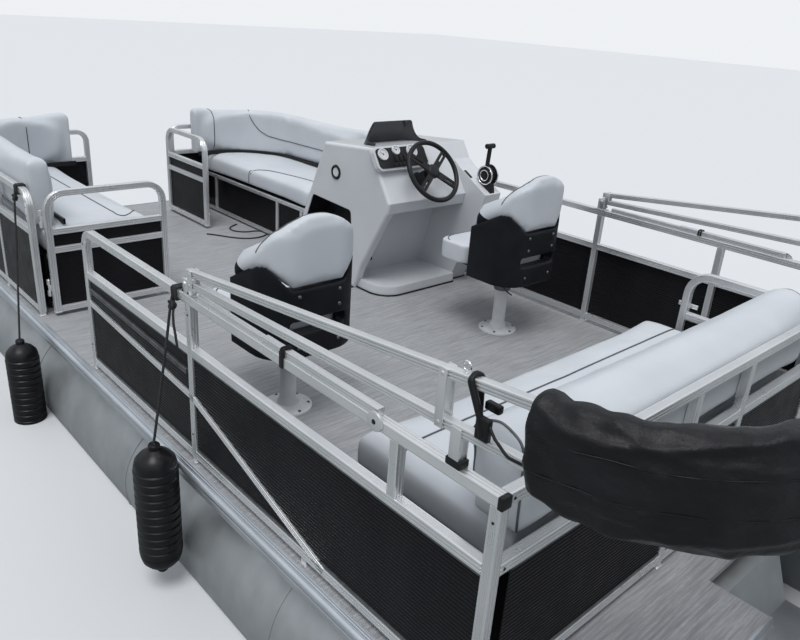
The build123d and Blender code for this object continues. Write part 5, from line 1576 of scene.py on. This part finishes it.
def piping(name, lines, body, radius=0.0032):
    """Welts laid on cushions: each line is drawn on its cushion's surface."""
    parts = [rod(lay_on(surface(piece), points, direction), radius, 2) for piece, points, direction in lines]
    return done(name, parts, "welt_vinyl", body, 60)


def make_lounge_welts(made):
    """Welts of the lounges and the bench, and dark lines over the lounges' backs that are painted shade of the
    gap between back cushions.
    """
    down, above = Vector((0, 0, -1)), 0.50
    port_seat = [(4.640, 0.76), (3.300, 0.762), (3.225, 0.755), (3.205, 0.72), (3.225, 0.675), (3.290, 0.625),
                 (3.420, 0.598), (3.650, 0.590), (3.900, 0.588)]
    starboard_seat = [(4.035, -0.600), (3.990, -0.640), (3.900, -0.672), (3.780, -0.690), (3.600, -0.710),
                      (3.400, -0.735)]
    bench_crease = [(0.500, y) for y in (1.085, 0.60, 0.0, -0.50, -0.585)]
    front = [(4.038, -0.602, 0.4500), (4.050, -0.568, 0.440), (4.052, -0.555, 0.40), (4.052, -0.555, 0.32)]
    # Dark lines over the lounges' backs, painted shade of the gap between two back cushions, and the long S
    # curve of the starboard one
    back_gap_shade = [(4.600, 0.47), (4.600, 0.74), (4.640, 0.83), (4.700, 0.83), (4.738, 0.74), (4.738, 0.50)]
    s_curve = [(4.590, 0.925, 0.83), (4.560, 0.905, 0.80), (4.530, 0.895, 0.76), (4.490, 0.920, 0.69),
               (4.455, 0.950, 0.64), (4.400, 0.996, 0.605), (4.280, 1.045, 0.59), (4.130, 1.06, 0.59),
               (3.800, 1.06, 0.595), (3.360, 1.06, 0.59)]
    # Ends of the bench's back roll
    round_roll = [(0.035, 0.46), (0.036, 0.66), (0.060, 0.725), (0.131, 0.752), (0.205, 0.72), (0.237, 0.66),
                  (0.235, 0.50)]
    lines = [
        ("lounge_port_seat", [spot(x, y, above) for x, y in port_seat], down),
        ("lounge_starboard_seat", [spot(x, y, above) for x, y in starboard_seat], down),
        ("lounge_starboard_seat", [spot(*place) for place in front], None),
        # Painted shade: a dark welt over each back where the gap between two back cushions falls in shadow.
        ("lounge_port_back", [spot(x, 0.80, z) for x, z in back_gap_shade], None),
        ("lounge_starboard_back", [spot(x, -0.62, z) for x, z in back_gap_shade], None),
        ("lounge_starboard_back", [spot(x, -y, z) for x, y, z in s_curve], None),
        ("bench_seat", [spot(x, y, above) for x, y in bench_crease], down),
        ("bench_back", [spot(x, 1.118, z) for x, z in round_roll], None),
        ("bench_back", [spot(x, -0.598, z) for x, z in round_roll], None),
    ]
    lines = [(made[f"{name}_cushion"], points, direction) for name, points, direction in lines]
    piping("lounge_and_bench_welts_and_gap_shade", lines, "hull")


def make_chair_welts(made):
    """Welts round the rim of each chair's back and along the front of its seat."""
    for chair, (x, y) in CHAIRS.items():
        back, seat = made[f"{chair}_chair_back_cushion"], made[f"{chair}_chair_seat_cushion"]
        rim, edge = [], []
        for step in range(13):
            angle = math.pi * step / 12
            across, high = 0.222 * math.cos(angle), 0.760 + 0.150 * math.sin(angle)
            reach = -0.150 if abs(across) < 0.16 else -0.100
            rim.append(Vector((at(x) + reach, y + across, DECK + high)))
        for step in range(9):
            angle = -math.pi / 2 + math.pi * step / 8
            along, across = 0.250 + 0.075 * math.cos(angle), 0.190 * math.sin(angle)
            edge.append(Vector((at(x) + along, y + across, DECK + 0.479)))
        piping(f"{chair}_chair_welts", [(back, rim, None), (seat, edge, None)], f"{chair}_chair_seat", 0.0028)


make_bases()
cushions = make_cushions()
make_lounge_welts(cushions)
make_chair_welts(cushions)
make_shells()


# Boot: black cloth drawn over the folded crossbars
BOOT_START = 1.484
BOOT_TURN = Matrix.Rotation(math.radians(4.3), 3, "Y")
BOOT_PLACE = Vector((at(TOP_PIVOT), 0.0, RAIL_TOP + 0.064))


def boot_line():
    """Middle line of the boot along the folded bows, measured from their pivot."""
    length, radius = TOP_BOWS[0][3], 0.440
    line = bent([(-BOOT_START, FENCE_Y, 0), (-length, FENCE_Y, 0), (-length, -FENCE_Y, 0),
                 (-BOOT_START, -FENCE_Y, 0)], [radius, radius], 24)
    return divided(line, 0.014)


def boot_form(line, around=64):
    """Closed bag round the line, flat-sided and sagging between its ends."""
    half_width, half_height, droop, end_run = 0.045, 0.104, 0.030, 0.35
    total = sum((after - before).length for before, after in zip(line, line[1:]))
    verts, faces, gone = [], [], 0.0
    for row, point in enumerate(line):
        ahead = (line[min(row + 1, len(line) - 1)] - line[max(row - 1, 0)]).normalized()
        side = ahead.cross(Vector((0, 0, 1))).normalized()
        if row:
            gone += (point - line[row - 1]).length
        sag = droop * min(1.0, min(gone, total - gone) / end_run)
        for column in range(around):
            angle = math.tau * column / around
            across, high = math.cos(angle), math.sin(angle)
            flat = math.copysign(abs(high) ** 0.62, high)
            wide = math.copysign(abs(across) ** 0.75, across)
            width = half_width * (1.0 - 0.30 * max(0.0, high)) * (1.0 + 0.10 * math.sin(gone * 5.1))
            tall = half_height
            if high <= 0:
                tall += sag * (1.0 + 0.3 * math.sin(gone * 3.3 + 1.0))
            verts.append(point + side * (wide * width) + Vector((0, 0, flat * tall - 0.006)))
    for row in range(len(line) - 1):
        for column in range(around):
            after = (column + 1) % around
            faces.append((row * around + column, row * around + after, (row + 1) * around + after,
                          (row + 1) * around + column))
    faces.append(tuple(range(around)))
    faces.append(tuple((len(line) - 1) * around + column for column in reversed(range(around))))
    return outward(new_mesh("boot", verts, faces), 0.00001)


def ridge(place):
    """Sharp ridges, 1 on their crests and 0 between them."""
    return max(0.0, 1.0 - abs(noise.noise(place)) * 2.0) ** 3


def fold_cloth(mesh):
    """Long slanting folds, sharper where the cloth is pulled, gathers across them and small creases."""
    normals = [vertex.normal.copy() for vertex in mesh.vertices]
    for vertex, normal in zip(mesh.vertices, normals):
        p = vertex.co.copy()
        along = math.atan2(p.y, p.x + 1.2) * 1.6 + p.y * 0.55
        slant = Vector((along * 3.2, p.z * 11.0 + along * 1.7, 0.0))
        folds = 0.0120 * ridge(slant) + 0.0060 * ridge(slant * 2.3 + Vector((7.1, 3.3, 0.0)))
        gathers = 0.0065 * ridge(Vector((along * 12.0, p.z * 2.4, 4.0)))
        creases = 0.0014 * noise.noise(Vector((p.x * 26, p.y * 26, p.z * 20)))
        vertex.co = p + normal * (folds + creases + gathers)
    for vertex in mesh.vertices:
        vertex.co = BOOT_PLACE + BOOT_TURN @ vertex.co


def make_boot():
    """Cloth boot with folds that run along it, and two stitched seams."""
    line = boot_line()
    piece = boot_form(line)
    fold_cloth(piece.data)
    apply_modifier(piece, "SUBSURF", levels=1, render_levels=1)
    tree = surface(piece)
    boot = done("top_boot_cloth", piece, "boot_cloth", "bimini", 50, replaces=("bimini_boot",))
    seams = []
    for level in (0.034, -0.046):
        outer = []
        for place in line[::3]:
            point = BOOT_PLACE + BOOT_TURN @ (place + Vector((0, 0, level)))
            push = (point - Vector((at(-0.1), 0.0, point.z))).normalized()
            outer.append(point + push * 0.07)
        seams.append(rod(lay_on(tree, outer, None, 0.0004, 0.02), 0.0016, 1))
    done("top_boot_seams", seams, "boot_cloth", "bimini", 60)


make_boot()


# Small fittings
SLOPE = math.atan2(0.287, 0.190)
DASH = Matrix((
    (0, math.cos(SLOPE), -math.sin(SLOPE), at(2.256)),
    (-1, 0, 0, 0),
    (0, math.sin(SLOPE), math.cos(SLOPE), DECK + 0.593),
    (0, 0, 0, 1),
))
DASH_OUT = (DASH.to_3x3() @ Vector((0, 0, 1))).normalized()
GAUGE_FACE = 0.048


def on_dash(x, y, z):
    """Place on the dash: to starboard, up the slope, and out of it."""
    return DASH @ Vector((x, y, z))


def dash_block(x, y, half_x, half_y, low, high, edge):
    """Small block standing on the dash."""
    piece = block(x, y, half_x, half_y, low, high, edge)
    piece.data.transform(DASH)
    return piece


def make_shadow_strips():
    """Black strips below the lounges' backs: painted shade where the shadow between back and seat falls."""
    outline = [(-0.006, -0.015), (0.006, -0.015), (0.006, 0.015), (-0.006, 0.015)]
    section = new_curve("strip_section", outline, closed=True, flat=True)
    parts, wall, bow = [], 1.057, 4.593
    for sign, aft, _ in LOUNGES.values():
        corners = [(aft + 0.040, wall), (bow, wall), (bow, 0.475)]
        line = bent([spot(x, sign * y, 0.466) for x, y in corners], [0.435], 12)
        parts.append(sweep(section, line))
    bpy.data.objects.remove(section)
    # Painted shade: these black strips stand for the shadow under the lounges' backs.
    done("lounge_painted_shade_strips", parts, "black_plastic", "hull", 30)


PORT_LIGHT = (at(2.755), DECK + 0.682)


def thin_plate(name, verts, faces, thickness):
    """A plate of one thickness from its middle surface."""
    return apply_modifier(new_mesh(name, verts, faces), "SOLIDIFY", thickness=thickness, offset=0.0)


def pocket_shade_sheet():
    """Black sheet inside the pocket in the console's side: painted shade where the pocket is dark."""
    corners = [(2.5625, 0.153), (2.6015, 0.478), (2.9840, 0.4975), (3.1320, 0.153)]
    verts = [(at(x), y, DECK + z) for y in (-0.4230, -0.5785) for x, z in corners]
    faces = [(0, 1, 5, 4), (1, 2, 6, 5), (2, 3, 7, 6), (3, 0, 4, 7), (4, 5, 6, 7)]
    return thin_plate("pocket_shade", verts, faces, 0.002)


def foot_trim():
    """Black trim where the console stands on the deck."""
    floor = 0.005
    tray = [(2.640, -0.445), (2.285, -0.445), (2.285, -1.052), (2.330, -1.056)]
    side = [(2.545, -0.4150), (3.250, -0.4150)]
    wall = [(2.325, -1.052), (2.325, -1.194), (3.240, -1.194)]
    tray, side, wall = [[spot(x, y, floor) for x, y in line] for line in (tray, side, wall)]
    return [rod(line, 0.005, 3) for line in (bent(tray, [0.140, 0.012], 8), side, wall)]


def make_console_trim():
    """Port light's ring, throttle slot, black sheet of painted shade in the pocket, foot trim and switches."""
    light_x, light_z = PORT_LIGHT
    ring = [(0.029, 0.0), (0.030, 0.006), (0.036, 0.009), (0.043, 0.006), (0.045, 0.0), (0.029, 0.0)]
    slope = math.atan2(0.131, 0.236)
    slot = bar((-0.034, -0.009, 0.0), (0.034, 0.009, 0.005))
    slot_place = Matrix.Translation((at(2.264), -1.120 + 0.055, DECK + 0.614 + 0.171 * math.tan(slope)))
    slot.data.transform(slot_place @ Matrix.Rotation(-slope, 4, "Y"))
    # The pocket's black sheet is painted shade: it darkens the recess in place of its shadow.
    black = [turned(ring, (light_x, -0.4205, light_z), (0, 1, 0), 40), slot, pocket_shade_sheet(), *foot_trim()]
    for x in (0.545, 0.580, 0.615):
        black.append(dash_block(x, 0.252, 0.012, 0.019, 0.041, 0.0485, 0.0025))
    for x in (0.530, 0.560, 0.590, 0.620, 0.650):
        black.append(dash_block(x, 0.213, 0.010, 0.010, 0.041, 0.0475, 0.002))
    done("console_black_fittings", black, "black_plastic", "hull", 40)


def make_gauges():
    """White bezels and faces of the gauges and the port light, with the gauges' hands and ticks."""
    light_x, light_z = PORT_LIGHT
    lens = [(0.0, 0.003), (0.026, 0.004), (0.029, 0.0), (0.0, 0.0)]
    white = [turned(lens, (light_x, -0.4200, light_z), (0, 1, 0), 32)]
    cap = [(0.0, 0.0032), (0.0035, 0.0030), (0.0045, 0.0)]
    hands = []
    for x, y, radius in ((0.455, 0.282, 0.034), (0.560, 0.302, 0.027), (0.679, 0.288, 0.038)):
        bezel = [(radius - 0.0070, 0.0005), (radius - 0.006, 0.0030), (radius - 0.0030, 0.0045),
                 (radius + 0.0010, 0.003), (radius + 0.0015, -0.0055), (radius - 0.007, -0.0055)]
        face = [(0.0, 0.0009), (radius - 0.0075, 0.0009), (radius - 0.0070, 0.0), (0.0, 0.0)]
        for profile in (bezel, face):
            white.append(turned(profile, on_dash(x, y, GAUGE_FACE), DASH_OUT, 36))
        centre = on_dash(x, y, GAUGE_FACE + 0.0008)
        dial = Matrix.Translation(centre) @ DASH.to_3x3().to_4x4()
        hands.append(turned(cap, centre, DASH_OUT, 16))
        hand = bar((-0.0011, 0.0, 0.0012), (0.0011, radius * 0.6, 0.0022), 0.0004, 1)
        hand.data.transform(dial @ Matrix.Rotation(0.9, 4, "Z"))
        hands.append(hand)
        for step in range(9):
            angle = math.radians(-130 + step * 32.5)
            tick = bar((-0.0007, radius - 0.0125, 0.0004), (0.0007, radius - 0.0085, 0.0012), 0.0002, 1)
            tick.data.transform(dial @ Matrix.Rotation(angle, 4, "Z"))
            hands.append(tick)
    done("gauge_bezels", white, "white_enamel", "hull", 40)
    done("gauge_hands", hands, "black_plastic", "hull", 40)


def make_controls():
    """Key with its float, rings of the throttle and cap of the wheel's hub."""
    key_head = [(0.0, 0.006), (0.006, 0.005), (0.008, 0.0), (0.008, -0.006)]
    key = [dash_block(0.648, 0.252, 0.0085, 0.024, 0.046, 0.052, 0.003),
           turned(key_head, on_dash(0.648, 0.270, GAUGE_FACE), DASH_OUT, 20)]
    done("key_float", key, "red_plastic", "hull", 40)
    rings = []
    hub_x, hub_y, hub_z = at(2.151), -1.148, DECK + 0.722
    for radius, out in ((0.0650, 0.0105), (0.0575, 0.056), (0.034, 0.0620)):
        profile = [(radius - 0.006, 0.0), (radius - 0.004, 0.0032), (radius, 0.0038), (radius + 0.0015, 0.0),
                   (radius + 0.0010, -0.004), (radius - 0.006, -0.004)]
        rings.append(turned(profile, (hub_x, hub_y + out, hub_z), (0, 1, 0), 48))
    done("throttle_rings", rings, "chrome", "hull", 50)
    cap = [(0.0, 0.012), (0.020, 0.0115), (0.032, 0.009), (0.039, 0.004), (0.041, 0.0)]
    hub = turned(cap, on_dash(0.700, 0.119, 0.1455), DASH_OUT, 40)
    done("wheel_hub_cap", hub, "black_plastic", "steering_wheel", 40)


def make_chair_fittings():
    """Bolts, collars, flange screws, levers and ribs of the chairs."""
    bolt = [(0.0, 0.0050), (0.004, 0.0046), (0.007, 0.0028), (0.0085, 0.0), (0.0085, -0.004)]
    flange_screw = [(0.0, 0.0042), (0.0045, 0.0036), (0.0072, 0.0012), (0.0074, -0.004)]
    flange_radius, flange_screws = 0.089, 6
    collar = [(0.0362, 0.236), (0.0456, 0.238), (0.0468, 0.244), (0.0468, 0.284), (0.0456, 0.290),
              (0.0440, 0.2915)]
    for chair, (forward, y) in CHAIRS.items():
        x, seat = at(forward), f"{chair}_chair_seat"
        bolts = []
        for across in (-0.095, 0.095):
            for z in (0.592, 0.528, 0.380):
                bolts.append(turned(bolt, (x - 0.2140, y + across, DECK + z), (-1, 0, 0), 20))
        done(f"{chair}_chair_bolts", bolts, "dark_metal", seat, 40)
        fixed = []
        for step in range(flange_screws):
            angle = math.tau * step / flange_screws
            across, along = flange_radius * math.sin(angle), flange_radius * math.cos(angle)
            fixed.append(turned(flange_screw, (x + along, y + across, DECK + 0.0125), steps=18))
        fixed.append(turned(collar, (x, y, DECK), steps=48))
        lever = [(x - 0.030, y + 0.035, DECK + 0.262), (x - 0.075, y + 0.062, DECK + 0.262),
                 (x - 0.120, y + 0.064, DECK + 0.250)]
        fixed.append(rod(bent(lever, [0.02], 4), 0.0042, 2))
        done(f"{chair}_chair_collar", fixed, "dark_metal", "hull", 40)
        rib_outline = [(-0.145, 0.358), (-0.062, 0.358), (-0.070, 0.315), (-0.085, 0.302)]
        ribs = []
        for across in (-0.030, 0.030):
            verts = [(x + behind, y + across, DECK + z) for behind, z in rib_outline]
            ribs.append(thin_plate("rib", verts, [(0, 1, 2, 3)], 0.004))
        done(f"{chair}_chair_ribs", ribs, "white_enamel", seat, 40)


def make_latch():
    """Latch cross on the stern gate."""
    (ax, ay), (dx, dy), (_, fy), length = GATES["stern_gate"]
    far = length - GATE_TRIM
    x, y = ax + dx * far, ay + dy * far + fy * 0.0435
    parts = [
        bar((x - 0.011, y - 0.006, DECK + 0.430), (x + 0.011, y + 0.003, DECK + 0.560), 0.003),
        bar((x - 0.045, y - 0.011, DECK + 0.486), (x + 0.045, y - 0.002, DECK + 0.506), 0.003),
        bar((x - 0.030, y - 0.012, DECK + 0.448), (x + 0.018, y - 0.003, DECK + 0.462), 0.003),
    ]
    done_rails("stern_gate_latch", parts, "stern_gate")


def make_port_trim():
    """Plate with two screws on the side gate's hinge post, and the strip along the port fence's upper bay."""
    x, y = at(HINGE_POST), FENCE_Y + HALF
    plate = bar((x - 0.013, y - 0.0005, DECK + 0.520), (x + 0.013, y + 0.0035, DECK + 0.604), 0.001)
    done("hinge_post_plate", plate, "white_enamel", "hull", 30)
    screws = [screw((x, y + 0.0035, DECK + z), (0, 1, 0)) for z in (0.540, 0.584)]
    fore = (at(FRONT_POST) - 0.030, y - 0.008, DECK + 0.392)
    aft = (at(MIDDLE_POST) + 0.030, y - 0.008, DECK + 0.366)
    strip = rail([fore, aft], section="strut", trim=0.0)
    done("post_screws", screws, "black_plastic", "hull", 30)
    done("upper_panel_strip", strip, "dark_metal", "hull", 30)


def make_top_straps():
    """Strap, hook cord and stop on the folded top, and its eye bolts."""
    for label, sign in (("port", 1), ("starboard", -1)):
        outer, inner, stop = FENCE_Y + 0.0155, FENCE_Y - 0.0150, FENCE_Y - 0.030

        def on_rail(points):
            """Places given by station, distance outwards and height above the rail."""
            return [(at(x), sign * y, RAIL_TOP + z) for x, y, z in points]

        strap = on_rail([(0.100, inner, 0.155), (0.105, inner, 0.235), (0.110, FENCE_Y, 0.2425),
                         (0.108, outer, 0.232), (0.070, outer + 0.002, 0.160), (0.058, outer + 0.003, 0.120)])
        cord = on_rail([(0.048, outer, 0.155), (0.020, outer + 0.008, 0.135), (-0.020, outer + 0.010, 0.112),
                        (-0.075, outer + 0.012, 0.118)])
        parts = [
            rod(bent(strap, 0.008, 3), 0.0085, 2),
            bar(*on_rail([(0.040, outer - 0.008, 0.110), (0.078, outer + 0.008, 0.165)]), 0.004),
            rod(bent(cord, 0.03, 5), 0.0036, 2),
            bar(*on_rail([(0.052, stop - 0.009, 0.158), (0.094, stop + 0.009, 0.178)]), 0.004),
        ]
        done(f"top_strap_{label}", parts, "boot_cloth", "bimini", 50)
        x, y = at(0.136), sign * FENCE_Y
        shank = [(0.0, 0.0), (0.004, 0.0), (0.004, -0.016), (0.008, -0.0165), (0.008, -0.020), (0.0, -0.020)]
        eye = [hoop((x, y, RAIL_TOP + 0.250), 0.011, 0.003, 20, 2),
               turned(shank, (x, y, RAIL_TOP + 0.241), steps=16)]
        done(f"top_eye_{label}", eye, "chrome", "bimini", 50)


def make_windscreen():
    """Windscreen, raked aft and narrowed to the port side of the console."""
    piece = loose_parts("windscreen")[0]
    foot, rake, port_edge, narrower = 0.870, 0.55, -0.500, 0.76
    for vertex in piece.data.vertices:
        vertex.co.x -= max(0.0, vertex.co.z - DECK - foot) * rake
        vertex.co.y = port_edge + (vertex.co.y - port_edge) * narrower
    done("windscreen_sheet", piece, "smoked_acrylic", "hull", 30,
         replaces=("windscreen",))


make_bench_bars()
make_windscreen()
make_shadow_strips()
make_console_trim()
make_gauges()
make_controls()
make_chair_fittings()
make_latch()
make_port_trim()
make_top_straps()


for section in SECTIONS.values():
    bpy.data.objects.remove(section)
